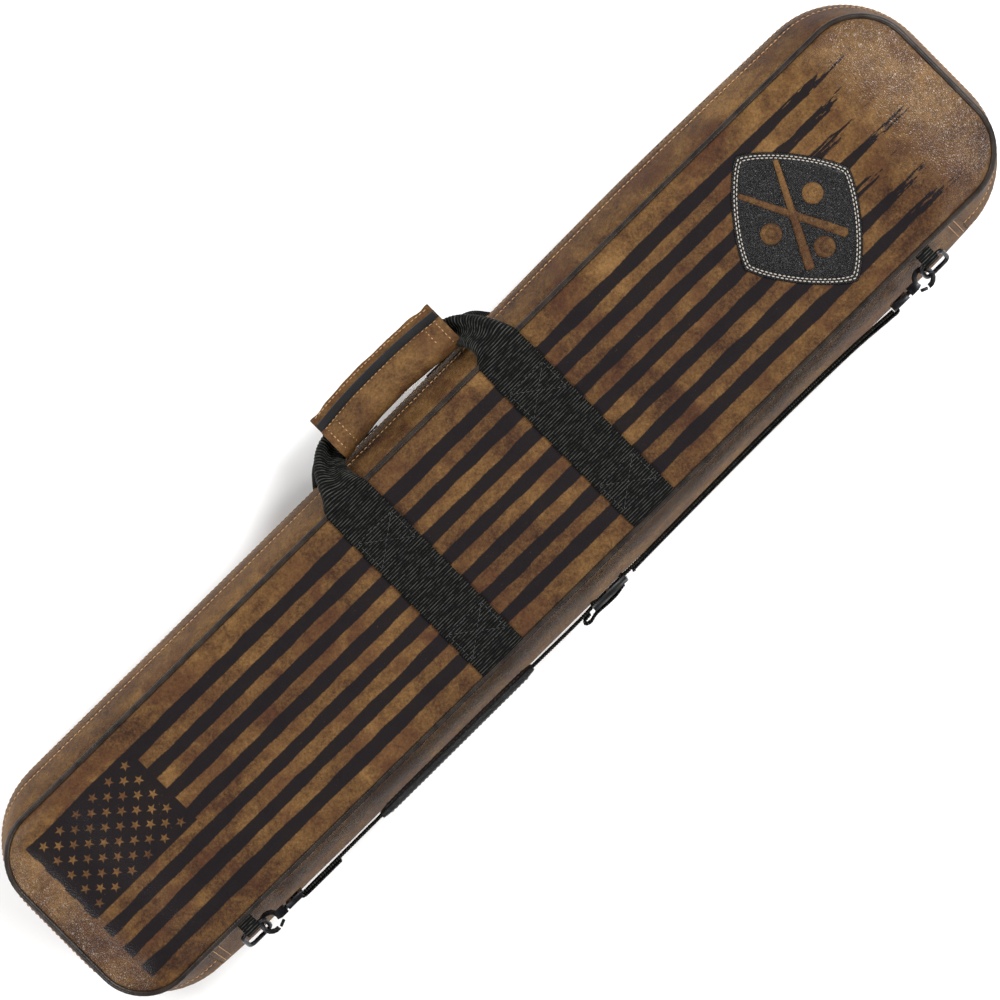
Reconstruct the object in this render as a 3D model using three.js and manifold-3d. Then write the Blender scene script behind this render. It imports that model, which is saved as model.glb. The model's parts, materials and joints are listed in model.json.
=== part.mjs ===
// Two-piece cue case of the butterfly kind. Two padded halves are joined along one long side (the spine)
// and zip together along the other long side and both ends. Each half holds a foam cradle for cue halves.
// Millimetres. X runs along the case, Y from the spine to the handle side, Z from the back to the printed
// front.
// The origin is the centre of the flat back face that the closed case lies on.
import * as THREE from 'three';
import { mergeVertices } from 'three/addons/utils/BufferGeometryUtils.js';
import Module from 'manifold-3d';

const wasm = await Module();
wasm.setup();

// ---- driving dimensions ----
const GAP = 0.3; // clearance between touching pieces
const CASE_DEPTH = 106;
const MID_Z = CASE_DEPTH / 2;
const SEAM_HALF_LENGTH = 423.5; // outline of the shell at the piping seam
const SEAM_HALF_WIDTH = 78.5;
const SEAM_DEPTH = 48; // from the middle plane to the piping seam
const SIDE_BULGE = 16.75; // how much wider each long side is at the middle plane
const END_BULGE = 4;
const SEAM_RADIUS_LEFT = 38;
const SEAM_RADIUS_RIGHT = 42;
const MID_RADIUS = 66;
const CORNER_STEPS = 7;

const WALL = 2.5; // gusset and spine vinyl with its foam
const PIPING_RADIUS = 2;
const PANEL_INSET = 1 + PIPING_RADIUS + GAP;
const PANEL_BASE = 45; // depth of a panel's inner face from the middle plane
const BOARD_THICKNESS = 3;
const BOARD_TOP = PANEL_BASE - GAP;
const LINER_TOP = BOARD_TOP - BOARD_THICKNESS - GAP;
const LINER_INSET = 4;
const LINER_THICKNESS = 1.5;
const LINER_RIM = 5;
const ZIP_GAP = 4.5; // half the width of the zip that shows between the two gussets
const SPINE_HALF_LENGTH = 362; // the spine vinyl takes the place of the zip and the gusset up to here

const CRADLE_LEFT = -380;
const CRADLE_LENGTH = 700;
const CRADLE_TOP = 4;
const CRADLE_BOTTOM = LINER_TOP - LINER_THICKNESS - GAP;
const BUTT_WIDTH = 33;
const BUTT_DEPTH = 32;
const SHAFT_WIDTH = 17;
const SHAFT_DEPTH = 18;
const CRADLE_WALL = 3.5;

const WEB_WIDTH = 38; // handle webbing
const WEB_THICKNESS = 1.7;
const STRAP_X = 73;
const STRAP_TOP_Y = 57;
const STRAP_BOTTOM_Y = -75;
const REAR_STRAP_TOP_Y = 79;
const CROWN_FRONT = 51; // depth of the crowned front face from the middle plane

const GRIP = { left: -54, right: 60, y: 112, z: 80, radius: 12, wall: 2.2 };
const REAR_ROLL_Z = 60;

const SLING = { y: -95.5, z: 88, halfWidth: 12, thickness: 1.8 };
const SLIDER_X = 54;
const TAB_X = 327;
const TAB_WIDTH = 12;
const RING_PIVOT = { y: -87.5, z: 98.5 };
const RING_WIRE = 1.6;
const RING_HALF = 10;
const RING_LENGTH = 18;

// ---- materials ----
function finish(color, roughness, metalness = 0) {
  return new THREE.MeshStandardMaterial({ color, roughness, metalness });
}

const VINYL = 0x7a5a36;
const PIPING = 0x3a2c22;
const WEBBING = 0x141414;
const LINING = 0x1d1b1b;
const BOARD = 0x8b7b63;
const FOAM = 0x2a2a2c;
const ZIP = 0x101010;
const METAL = 0x1c1c1e;
const PLASTIC = 0x161616;
const LEATHER = 0x1e1a19;

// ---- the object ----
const cueCase = new THREE.Group();

function addPiece(name, geometry, color, roughness = 0.8, metalness = 0) {
  const piece = new THREE.Mesh(geometry, finish(color, roughness, metalness));
  piece.name = name;
  cueCase.add(piece);
  return piece;
}

// ---- solids from sections ----
function signedVolume(geometry) {
  const { position } = geometry.attributes;
  const [a, b, c] = [new THREE.Vector3(), new THREE.Vector3(), new THREE.Vector3()];
  let volume = 0;
  for (let i = 0; i < geometry.index.count; i += 3) {
    a.fromBufferAttribute(position, geometry.index.getX(i));
    b.fromBufferAttribute(position, geometry.index.getX(i + 1));
    c.fromBufferAttribute(position, geometry.index.getX(i + 2));
    volume += a.dot(b.cross(c)) / 6;
  }
  return volume;
}

function facingOut(positions, index) {
  const geometry = new THREE.BufferGeometry();
  geometry.setAttribute('position', new THREE.Float32BufferAttribute(positions, 3));
  geometry.setIndex(index);
  if (signedVolume(geometry) < 0) geometry.setIndex(index.slice().reverse());
  return geometry;
}

// Joins neighbouring sections of equal point count. A closed sweep joins the last section to the first.
function joinSections(sections, closed) {
  const count = sections[0].length;
  const positions = sections.flat().flatMap((point) => point.toArray());
  const index = [];
  const spans = closed ? sections.length : sections.length - 1;
  for (let span = 0; span < spans; span += 1) {
    const here = span * count;
    const there = ((span + 1) % sections.length) * count;
    for (let i = 0; i < count; i += 1) {
      const next = (i + 1) % count;
      index.push(here + i, here + next, there + next, here + i, there + next, there + i);
    }
  }
  if (!closed) {
    for (const [section, start] of [[sections[0], 0], [sections.at(-1), spans * count]]) {
      const hub = positions.length / 3;
      const middle = section.reduce((sum, point) => sum.add(point), new THREE.Vector3());
      positions.push(...middle.divideScalar(count).toArray());
      for (let i = 0; i < count; i += 1) {
        const next = (i + 1) % count;
        index.push(...(start ? [start + i, start + next, hub] : [next, i, hub]));
      }
    }
  }
  return facingOut(positions, index);
}

function roundedOutline(xMin, xMax, yMin, yMax, radiusLeft, radiusRight, z) {
  const corners = [
    [xMax - radiusRight, yMax - radiusRight, radiusRight],
    [xMin + radiusLeft, yMax - radiusLeft, radiusLeft],
    [xMin + radiusLeft, yMin + radiusLeft, radiusLeft],
    [xMax - radiusRight, yMin + radiusRight, radiusRight],
  ];
  return corners.flatMap(([x, y, radius], quarter) => (
    Array.from({ length: CORNER_STEPS + 1 }, (_, step) => {
      const angle = (quarter + step / CORNER_STEPS) * Math.PI / 2;
      return new THREE.Vector3(x + radius * Math.cos(angle), y + radius * Math.sin(angle), z);
    })
  ));
}

// A bead of round section that follows an outline given as a function of (inset, height).
function bead(outlineAt, radius) {
  const sides = 8;
  const sections = Array.from({ length: sides }, (_, side) => {
    const angle = 2 * Math.PI * side / sides;
    return outlineAt(radius * Math.cos(angle), radius * Math.sin(angle));
  });
  return joinSections(sections, true);
}

// A band of webbing. Each station holds its centre, half its width and half its thickness as vectors.
function ribbon(stations) {
  const sections = stations.map(([centre, across, up]) => [
    centre.clone().add(across).add(up),
    centre.clone().sub(across).add(up),
    centre.clone().sub(across).sub(up),
    centre.clone().add(across).sub(up),
  ]);
  return joinSections(sections, false);
}

function station(centre, across, up) {
  return [new THREE.Vector3(...centre), new THREE.Vector3(...across), new THREE.Vector3(...up)];
}

// ---- extrusions and boxes ----
function polygon(points) {
  return new THREE.Shape(points.map(([x, y]) => new THREE.Vector2(x, y)));
}

function alongZ(shape, zLow, zHigh, curveSegments = 10) {
  const options = { depth: zHigh - zLow, bevelEnabled: false, curveSegments };
  return new THREE.ExtrudeGeometry(shape, options).translate(0, 0, zLow);
}

// A shape drawn in Y and Z, extruded along X.
function alongX(shape, xLow, xHigh, curveSegments = 10) {
  const turn = new THREE.Matrix4().makeBasis(
    new THREE.Vector3(0, 1, 0),
    new THREE.Vector3(0, 0, 1),
    new THREE.Vector3(1, 0, 0),
  );
  return alongZ(shape, xLow, xHigh, curveSegments).applyMatrix4(turn);
}

function boxBetween(low, high) {
  const size = low.map((value, axis) => high[axis] - value);
  const centre = low.map((value, axis) => (high[axis] + value) / 2);
  return new THREE.BoxGeometry(...size).translate(...centre);
}

// ---- cutting and joining ----
function toSolid(geometry) {
  const bare = geometry.clone();
  bare.deleteAttribute('normal');
  bare.deleteAttribute('uv');
  const merged = mergeVertices(bare, 1e-4);
  return new wasm.Manifold(new wasm.Mesh({
    numProp: 3,
    vertProperties: new Float32Array(merged.attributes.position.array),
    triVerts: new Uint32Array(merged.index.array),
  }));
}

function toGeometry(solid) {
  const mesh = solid.getMesh();
  const geometry = new THREE.BufferGeometry();
  geometry.setAttribute('position', new THREE.BufferAttribute(mesh.vertProperties.slice(), 3));
  geometry.setIndex(new THREE.BufferAttribute(mesh.triVerts.slice(), 1));
  return geometry;
}

function cut(geometry, ...tools) {
  return toGeometry(tools.reduce((solid, tool) => solid.subtract(toSolid(tool)), toSolid(geometry)));
}

function common(geometry, tool) {
  return toGeometry(toSolid(geometry).intersect(toSolid(tool)));
}

function join(geometry, ...others) {
  return toGeometry(others.reduce((solid, other) => solid.add(toSolid(other)), toSolid(geometry)));
}

// ---- the two halves ----
const FRONT = { name: 'front', z: (depth) => MID_Z + depth };
const REAR = { name: 'rear', z: (depth) => MID_Z - depth };
const BEYOND = 500;
const spineSide = boxBetween([-SPINE_HALF_LENGTH, -BEYOND, -BEYOND], [SPINE_HALF_LENGTH, 0, BEYOND]);
const spineBox = boxBetween(
  [GAP - SPINE_HALF_LENGTH, -BEYOND, -BEYOND],
  [SPINE_HALF_LENGTH - GAP, 0, BEYOND],
);

// The shell's outline at a depth from the middle plane. The handle side and the ends are convex, and the
// spine side is straight, so that the two halves and the sling between them can lie open.
function shellOutline(half, depth, inset = 0) {
  const level = depth / SEAM_DEPTH;
  const bulge = 1 - level * level;
  const halfLength = SEAM_HALF_LENGTH + END_BULGE * bulge - inset;
  const radiusLeft = THREE.MathUtils.lerp(SEAM_RADIUS_LEFT, MID_RADIUS, bulge) - inset;
  const radiusRight = THREE.MathUtils.lerp(SEAM_RADIUS_RIGHT, MID_RADIUS, bulge) - inset;
  return roundedOutline(
    -halfLength,
    halfLength,
    -(SEAM_HALF_WIDTH + SIDE_BULGE * (1 - level)) + inset,
    SEAM_HALF_WIDTH + SIDE_BULGE * bulge - inset,
    radiusLeft,
    radiusRight,
    half.z(depth),
  );
}

function seamOutline(half, depth, inset) {
  return roundedOutline(
    -SEAM_HALF_LENGTH + inset,
    SEAM_HALF_LENGTH - inset,
    -SEAM_HALF_WIDTH + inset,
    SEAM_HALF_WIDTH - inset,
    SEAM_RADIUS_LEFT - inset,
    SEAM_RADIUS_RIGHT - inset,
    half.z(depth),
  );
}

// A wall that follows the shell between two insets, at the depths listed from low to high.
function wallRing(half, insetOut, insetIn, depths) {
  const outer = depths.map((depth) => shellOutline(half, depth, insetOut));
  const inner = depths.map((depth) => shellOutline(half, depth, insetIn)).reverse();
  return joinSections([...outer, ...inner], true);
}

// Inset and depth of the panel's face, from its edge to the flat of the crown.
function crownLevels(half) {
  const top = half === FRONT ? CROWN_FRONT : MID_Z;
  return [[PANEL_INSET, 48.4], [6, (48.4 + 2 * top) / 3 - 0.1], [12, top - 0.6], [24, top]];
}

function panel(half) {
  const base = seamOutline(half, PANEL_BASE, PANEL_INSET);
  const face = crownLevels(half).map(([inset, depth]) => seamOutline(half, depth, inset));
  return joinSections([base, ...face], false);
}

function liner(half) {
  const depths = [LINER_RIM, 16, 28, LINER_TOP];
  const floor = LINER_TOP - LINER_THICKNESS;
  const inner = [LINER_RIM, 16, 28, floor].map((depth) => (
    shellOutline(half, depth, LINER_INSET + LINER_THICKNESS)
  ));
  const outer = depths.map((depth) => shellOutline(half, depth, LINER_INSET)).reverse();
  return joinSections([...outer, ...inner], false);
}

// Channels across the cradle, from the handle side to the spine side.
function channels() {
  const widths = [SHAFT_WIDTH, SHAFT_WIDTH, BUTT_WIDTH, BUTT_WIDTH, SHAFT_WIDTH, SHAFT_WIDTH];
  const total = widths.reduce((sum, width) => sum + width, 0) + CRADLE_WALL * (widths.length + 1);
  let edge = total / 2;
  return widths.map((width) => {
    const high = edge - CRADLE_WALL;
    edge = high - width;
    const depth = width === BUTT_WIDTH ? BUTT_DEPTH : SHAFT_DEPTH;
    return { low: edge, high, floor: CRADLE_TOP + depth, outer: total / 2 };
  });
}

function cradle(half) {
  const slots = channels();
  const side = slots[0].outer;
  const shoulder = 26; // depth where the cradle starts to narrow with the shell
  const base = 73.5; // half its width against the liner's floor
  const profile = [[-base, CRADLE_BOTTOM], [base, CRADLE_BOTTOM], [side, shoulder], [side, CRADLE_TOP]];
  for (const { low, high, floor } of slots) {
    profile.push([high, CRADLE_TOP], [high, floor], [low, floor], [low, CRADLE_TOP]);
  }
  profile.push([-side, CRADLE_TOP], [-side, shoulder]);
  const shape = polygon(profile.map(([y, depth]) => [y, half.z(depth)]));
  return alongX(shape, CRADLE_LEFT, CRADLE_LEFT + CRADLE_LENGTH);
}

function retainerBand(half, x) {
  const side = channels()[0].outer - 0.5;
  const [near, far] = [half.z(CRADLE_TOP - GAP), half.z(CRADLE_TOP - GAP - 1.1)];
  return boxBetween([x - 15, -side, Math.min(near, far)], [x + 15, side, Math.max(near, far)]);
}

// The straight part of a front strap, sewn down along the panel and following its crown.
function sewnStrap(half, x) {
  const faceDepth = (y) => {
    const inset = SEAM_HALF_WIDTH - Math.abs(y);
    const levels = crownLevels(half);
    const after = levels.findIndex(([edge]) => edge > inset);
    if (after < 1) return levels.at(after < 0 ? -1 : 0)[1];
    const [[edgeA, depthA], [edgeB, depthB]] = levels.slice(after - 1, after + 1);
    return THREE.MathUtils.mapLinear(inset, edgeA, edgeB, depthA, depthB);
  };
  const stops = [STRAP_BOTTOM_Y, -72.5, -66.5, -54.5, STRAP_TOP_Y];
    const lower = stops.map((y) => [y, half.z(faceDepth(y) + GAP)]);
  const upper = stops.map((y) => [y, half.z(faceDepth(y) + GAP + WEB_THICKNESS)]).reverse();
  return alongX(polygon([...lower, ...upper]), x - WEB_WIDTH / 2, x + WEB_WIDTH / 2);
}

function addHalf(half) {
  const label = (piece) => `${half.name}_${piece}`;
  const gussetDepths = [ZIP_GAP, 14, 25, 34, 41, 45.7];
  const spineDepths = [GAP, 45.7];

  addPiece(label('core_board'), joinSections([
    shellOutline(half, BOARD_TOP, LINER_INSET),
    shellOutline(half, BOARD_TOP - BOARD_THICKNESS, LINER_INSET),
  ], false), BOARD);
  addPiece(label('gusset'), cut(wallRing(half, 0, WALL, gussetDepths), spineSide), VINYL, 0.6);
  addPiece(label('spine_leaf'), common(wallRing(half, 0, WALL, spineDepths), spineBox), VINYL, 0.6);
  const pipingAt = (inset, height) => seamOutline(half, SEAM_DEPTH + height, 1 + inset);
  addPiece(label('piping'), bead(pipingAt, PIPING_RADIUS), PIPING, 0.5);
  addPiece(label('liner'), liner(half), LINING, 0.95);
  addPiece(label('cue_cradle'), cradle(half), FOAM, 0.95);
  for (const [number, x] of [[1, -230], [2, 150]]) {
    addPiece(label(`retainer_band_${number}`), retainerBand(half, x), WEBBING, 0.9);
  }
  const tape = wallRing(half, WALL + GAP, WALL + GAP + 0.8, [0.4, 9]);
  addPiece(label('zip_tape'), cut(tape, spineSide), ZIP, 0.9);
  const coil = wallRing(half, 1.5, WALL, [GAP, 2]);
  addPiece(label('zip_coil'), cut(coil, spineSide), ZIP, 0.4);
}

function addPanels() {
  addPiece('front_panel', panel(FRONT), VINYL, 0.5);
  const groove = (x) => boxBetween(
    [x - WEB_WIDTH / 2 - GAP, -BEYOND, -1],
    [x + WEB_WIDTH / 2 + GAP, BEYOND, WEB_THICKNESS + GAP],
  );
  addPiece('rear_panel', cut(panel(REAR), groove(-STRAP_X), groove(STRAP_X)), VINYL, 0.6);
  for (const [side, x] of [['left', -STRAP_X], ['right', STRAP_X]]) {
    addPiece(`front_strap_${side}`, sewnStrap(FRONT, x), WEBBING, 0.9);
    const rear = boxBetween(
      [x - WEB_WIDTH / 2, STRAP_BOTTOM_Y, 0],
      [x + WEB_WIDTH / 2, REAR_STRAP_TOP_Y, WEB_THICKNESS],
    );
    addPiece(`rear_strap_${side}`, rear, WEBBING, 0.9);
  }
}

// A stitched lozenge with slightly swelling sides.
function addEmblem() {
  const centre = { x: 282, y: -3 };
  const half = { x: 50, y: 60 };
  const power = 1.25;
  const points = Array.from({ length: 32 }, (_, i) => {
    const angle = 2 * Math.PI * i / 32;
    const [c, s] = [Math.cos(angle), Math.sin(angle)];
    return [
      centre.x + half.x * Math.sign(c) * Math.abs(c) ** (2 / power),
      centre.y + half.y * Math.sign(s) * Math.abs(s) ** (2 / power),
    ];
  });
  const low = FRONT.z(CROWN_FRONT) + GAP;
  addPiece('emblem_patch', alongZ(polygon(points), low, low + 1.3), LEATHER, 0.5);
}

// ---- handles ----
// Both loops leave their panel flat, narrow as they fold, and run rolled up through the grip.
function addHandles() {
  const { left, right, y, z } = GRIP;
  const roll = { across: [0, 7.5, 0], up: [0, 0, 3.5] };
  addPiece('front_handle_webbing', ribbon([
    station([-STRAP_X, STRAP_TOP_Y + 0.6, 105.15], [-19, 0, 0], [0, 0, 0.85]),
    station([-72.5, 77, 105.15], [-17.5, 0, 0], [0, 0, 0.85]),
    station([-71, 88, 102], [-13, 0, 1], [0, 0.5, 1.3]),
    station([-69, 98, 94], [-9, 3, 1], [0.7, 1.8, 1.6]),
    station([-64, 107, 85], [-5, 7, 0], [1.5, 1, 3]),
    station([left - 2, y, z], roll.across, roll.up),
    station([right + 2, y, z], roll.across, roll.up),
    station([69, 107, 85], [5, 7, 0], [-1.5, 1, 3]),
    station([74, 98, 94], [9, 3, 1], [-0.7, 1.8, 1.6]),
    station([75, 88, 102], [13, 0, 1], [0, 0.5, 1.3]),
    station([73.5, 77, 105.15], [17.5, 0, 0], [0, 0, 0.85]),
    station([STRAP_X, STRAP_TOP_Y + 0.6, 105.15], [19, 0, 0], [0, 0, 0.85]),
  ]), WEBBING, 0.9);
  addPiece('rear_handle_webbing', ribbon([
    station([-STRAP_X, 81.5, 3], [19, 0, 0], [0, 0.8, -0.4]),
    station([-72, 92, 22], [15, 0, 0], [0, 0.8, -0.5]),
    station([-70, 102, 41], [10, 0, 0], [0, 1.5, -0.8]),
    station([-64, 109, 54], [6, 4, 2], [-1, 2, -1.5]),
    station([left + 6, y, REAR_ROLL_Z], [0, 7, 0], [0, 0, 3]),
    station([right - 6, y, REAR_ROLL_Z], [0, 7, 0], [0, 0, 3]),
    station([70, 109, 54], [-6, 4, -2], [1, 2, -1.5]),
    station([73, 102, 41], [-10, 0, 0], [0, 1.5, -0.8]),
    station([73, 92, 22], [-15, 0, 0], [0, 0.8, -0.5]),
    station([STRAP_X, 81.5, 3], [-19, 0, 0], [0, 0.8, -0.4]),
  ]), WEBBING, 0.9);

  const ring = (radius, from, to, steps) => Array.from({ length: steps + 1 }, (_, i) => {
    const angle = THREE.MathUtils.degToRad(THREE.MathUtils.lerp(from, to, i / steps));
    return [y + radius * Math.cos(angle), z + radius * Math.sin(angle)];
  });
  const inner = GRIP.radius - GRIP.wall;
  const tailTop = (out) => z - 4.9 + 0.25 * (out - 8.5); // upper face of the lower flap
  const wrap = polygon([
    ...ring(GRIP.radius, -5, 325, 18),
    [y + 24, tailTop(24) - GRIP.wall],
    [y + 24, tailTop(24)],
    [y + 8.5, tailTop(8.5)],
    ...ring(inner, 325, -5, 18).slice(1),
  ]);
  addPiece('grip_wrap', alongX(wrap, left, right), VINYL, 0.6);
  const pad = polygon(ring(inner - GAP, 0, 337.5, 15));
  pad.holes.push(polygon([
    [y - 7.5 - GAP, z - 3.5 - GAP],
    [y - 7.5 - GAP, z + 3.5 + GAP],
    [y + 7.5 + GAP, z + 3.5 + GAP],
    [y + 7.5 + GAP, z - 3.5 - GAP],
  ]));
  addPiece('grip_pad', alongX(pad, left + 6, right - 6), FOAM, 0.95);
  addPiece('grip_loop_strip', alongX(polygon([
    [y + 10, tailTop(10) + GAP],
    [y + 17, tailTop(17) + GAP],
    [y + 17, tailTop(17) + 1.2],
    [y + 10, tailTop(10) + 1.2],
  ]), left + 1, right - 1), WEBBING, 0.95);
  addPiece('grip_hook_strip', alongX(polygon([
    [y + 10, tailTop(10) + 1.5],
    [y + 12, tailTop(12) + 1.5],
    [y + 12, z - 1.4],
    [y + 10, z - 1.4],
  ]), left + 1, right - 1), WEBBING, 0.95);
}

// ---- zip sliders ----
// Low plates between the two gussets' edges, parked below the grip's ends. Each carries a bail for its pull.
function addZipSliders() {
  const face = SEAM_HALF_WIDTH + SIDE_BULGE; // outer face of the shell at the middle plane
  const plate = { low: face - 1.1, high: face - 0.15, halfLength: 6, halfHeight: 4 };
  const bail = { halfLength: 3.4, halfWidth: 1.5, top: plate.high + 2.4 };
  const eye = { halfLength: 2, low: plate.high + 0.3, high: plate.high + 1.8 };
  const pin = { half: 0.5, y: (eye.low + eye.high) / 2 };
  const pull = { legs: 10, tab: 8, end: 30, halfWidth: 2.6, leg: 1 };
  for (const [side, sign] of [['left', -1], ['right', 1]]) {
    const x = SLIDER_X * sign;
    const body = boxBetween(
      [x - plate.halfLength, plate.low, MID_Z - plate.halfHeight],
      [x + plate.halfLength, plate.high, MID_Z + plate.halfHeight],
    );
    const arch = boxBetween(
      [x - bail.halfLength, plate.high - 0.2, MID_Z - bail.halfWidth],
      [x + bail.halfLength, bail.top, MID_Z + bail.halfWidth],
    );
    const opening = boxBetween(
      [x - eye.halfLength, eye.low, MID_Z - BEYOND],
      [x + eye.halfLength, eye.high, MID_Z + BEYOND],
    );
    addPiece(`${side}_zip_slider`, join(body, cut(arch, opening)), METAL, 0.35, 0.7);

    // The pull's pin turns inside the bail, and its tab lies along the tape towards the middle of the case.
    const flat = (from, to, low, high) => boxBetween(
      [Math.min(x - from * sign, x - to * sign), pin.y - pin.half, MID_Z + low],
      [Math.max(x - from * sign, x - to * sign), pin.y + pin.half, MID_Z + high],
    );
    const crossbar = flat(-pin.half, pin.half, -pull.halfWidth, pull.halfWidth);
    const legs = [
      flat(-pin.half, pull.legs, -pull.halfWidth, pull.leg - pull.halfWidth),
      flat(-pin.half, pull.legs, pull.halfWidth - pull.leg, pull.halfWidth),
    ];
    const tab = flat(pull.tab, pull.end, -pull.halfWidth, pull.halfWidth);
    addPiece(`${side}_zip_pull`, join(crossbar, ...legs, tab), METAL, 0.35, 0.7);
  }
}

// ---- shoulder sling ----
function addRingTab(side, sign) {
  const { y, z } = RING_PIVOT;
  const steps = 14;
  const from = 0.42; // the round end leaves the neck at this angle
  const arc = Array.from({ length: steps + 1 }, (_, i) => {
    const angle = from + (2 * Math.PI - 2 * from) * i / steps;
    return [y + 3.9 * Math.cos(angle), z + 3.9 * Math.sin(angle)];
  });
  const profile = polygon([[-80.4, z - 0.5], [-80.4, z + 1.6], ...arc]);
  profile.holes.push(polygon(Array.from({ length: 12 }, (_, i) => {
    const angle = -2 * Math.PI * i / 12;
    return [y + 2.2 * Math.cos(angle), z + 2.2 * Math.sin(angle)];
  })));
  const x = TAB_X * sign;
  addPiece(`${side}_ring_tab`, alongX(profile, x - TAB_WIDTH / 2, x + TAB_WIDTH / 2), WEBBING, 0.9);
}

function addRing(side, sign) {
  const outlineAt = (inset, height) => roundedOutline(
    -RING_HALF + inset,
    RING_HALF - inset,
    -RING_LENGTH + inset,
    -inset,
    4 - inset,
    4 - inset,
    height,
  );
  const ring = addPiece(`${side}_ring`, bead(outlineAt, RING_WIRE), METAL, 0.3, 0.9);
  ring.position.set(TAB_X * sign, RING_PIVOT.y, RING_PIVOT.z);
  ring.rotation.x = THREE.MathUtils.degToRad(59.6);
}

// A snap hook lying in the X-Y plane. It is drawn with its strap end towards +x, and mirrored for the right.
function addHook(side, sign) {
  const jaw = { x: -TAB_X + RING_HALF + 1.9, y: -94.2, inner: 5, outer: 8.3 };
  const radians = THREE.MathUtils.degToRad;
  const bend = (radius, from, to, steps) => Array.from({ length: steps + 1 }, (_, i) => {
    const angle = radians(THREE.MathUtils.lerp(from, to, i / steps));
    return [jaw.x + radius * Math.cos(angle), jaw.y + radius * Math.sin(angle)];
  });
  const mirrored = (points) => polygon(points.map(([x, y]) => [-x * sign, y]));
  const outline = [
    [jaw.x + 14, jaw.y + 3.2],
    ...bend(jaw.outer, 23, 282, 12),
    ...bend(jaw.inner, 282, -24, 12),
    [jaw.x + 8, jaw.y - 3.2],
    [jaw.x + 14, jaw.y - 3.2],
  ];
  const plate = alongZ(mirrored(outline), SLING.z - 2.5, SLING.z + 2.5);
  const stemLow = jaw.x + 13;
  const stem = new THREE.CylinderGeometry(1.6, 1.6, 9, 12).rotateZ(Math.PI / 2);
  stem.translate(-sign * (stemLow + 4.5), jaw.y, SLING.z);
  const head = new THREE.CylinderGeometry(3, 3, 2, 12).rotateZ(Math.PI / 2);
  head.translate(-sign * (stemLow + 9), jaw.y, SLING.z);
  addPiece(`${side}_hook`, join(plate, stem, head), METAL, 0.3, 0.9);

  const pivot = { x: jaw.x + 7.6, y: jaw.y - 4.9 };
  const tip = { x: jaw.x + 2.6, y: jaw.y - 6.9 };
  const along = new THREE.Vector2(tip.x - pivot.x, tip.y - pivot.y);
  const across = new THREE.Vector2(-along.y, along.x).setLength(1.1);
  const gate = mirrored([
    [pivot.x + across.x, pivot.y + across.y],
    [tip.x + across.x, tip.y + across.y],
    [tip.x - across.x, tip.y - across.y],
    [pivot.x - across.x, pivot.y - across.y],
  ]);
  addPiece(`${side}_hook_gate`, alongZ(gate, SLING.z - 2, SLING.z + 2), METAL, 0.3, 0.9);

  // The swivel eye: a collar around the stem and a flat loop that the webbing folds around.
  const eyeLow = jaw.x + 16;
  const block = (from, to, halfY, halfZ) => {
    const ends = [-from * sign, -to * sign];
    return boxBetween(
      [Math.min(...ends), jaw.y - halfY, SLING.z - halfZ],
      [Math.max(...ends), jaw.y + halfY, SLING.z + halfZ],
    );
  };
  const bore = new THREE.CylinderGeometry(1.9, 1.9, 12, 12).rotateZ(Math.PI / 2);
  bore.translate(-eyeLow * sign, jaw.y, SLING.z);
  const eye = cut(
    block(eyeLow, eyeLow + 14, 2, 16),
    block(eyeLow + 5.4, eyeLow + 11.2, BEYOND, 13),
    block(eyeLow + 4, eyeLow + 8, BEYOND, 4),
    bore,
  );
  addPiece(`${side}_swivel_eye`, eye, METAL, 0.3, 0.9);
}

function slingRibbon(points) {
  const half = SLING.thickness / 2;
  return ribbon(points.map(([x, y], i) => {
    const [before, after] = [points[Math.max(i - 1, 0)], points[Math.min(i + 1, points.length - 1)]];
    const normal = new THREE.Vector3(before[1] - after[1], after[0] - before[0], 0).setLength(half);
    return [new THREE.Vector3(x, y, SLING.z), new THREE.Vector3(0, 0, SLING.halfWidth), normal];
  }));
}

function addSling() {
  for (const [side, sign] of [['left', -1], ['right', 1]]) {
    addRingTab(side, sign);
    addRing(side, sign);
    addHook(side, sign);
  }
  const { y, z } = SLING;
  const eyeBar = TAB_X - RING_HALF - 1.9 - 27.2; // where the webbing starts beside the swivel eye
  const buckle = { left: -5.5, middle: 8.5, right: 22.5, bar: 3, outer: y - 3, inner: y + 0.1 };
  addPiece('sling_webbing', slingRibbon([
    [-eyeBar + 3.3, y],
    [-14, y],
    [buckle.left + 1.5, y + 2.1],
    [buckle.middle + 1.5, y - 3.1],
    [buckle.right + 1.5, y + 2.1],
    [34, y],
    [eyeBar - 3.3, y],
  ]), WEBBING, 0.9);
  addPiece('sling_return', slingRibbon([[36, y - 3.2], [eyeBar - 3.3, y - 3.2]]), WEBBING, 0.9);

  const bars = [
    [buckle.left, y - 3, y + 0.1],
    [buckle.middle, y - 1.2, y + 1.5],
    [buckle.right, y - 3, y + 0.1],
  ].map(([x, low, high]) => boxBetween([x, low, z - 13.5], [x + buckle.bar, high, z + 13.5]));
  const rails = [-1, 1].map((end) => boxBetween(
    [buckle.left, y - 3, z + 13.6 * end - 1],
    [buckle.right + buckle.bar, y + 1.5, z + 13.6 * end + 1],
  ));
  addPiece('sling_adjuster', join(rails[0], rails[1], ...bars), PLASTIC, 0.5);

  const [padHalf, slotHalf] = [16, SLING.halfWidth + GAP];
  const pad = polygon([
    [y - 3, z - padHalf + 1], [y - 2, z - padHalf], [y + 2, z - padHalf], [y + 3, z - padHalf + 1],
    [y + 3, z + padHalf - 1], [y + 2, z + padHalf], [y - 2, z + padHalf], [y - 3, z + padHalf - 1],
  ]);
  const slotSide = SLING.thickness / 2 + GAP;
  pad.holes.push(polygon([
    [y - slotSide, z - slotHalf], [y - slotSide, z + slotHalf],
    [y + slotSide, z + slotHalf], [y + slotSide, z - slotHalf],
  ]));
  addPiece('sling_pad', alongX(pad, -209, -64), LEATHER, 0.6);
}

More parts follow.
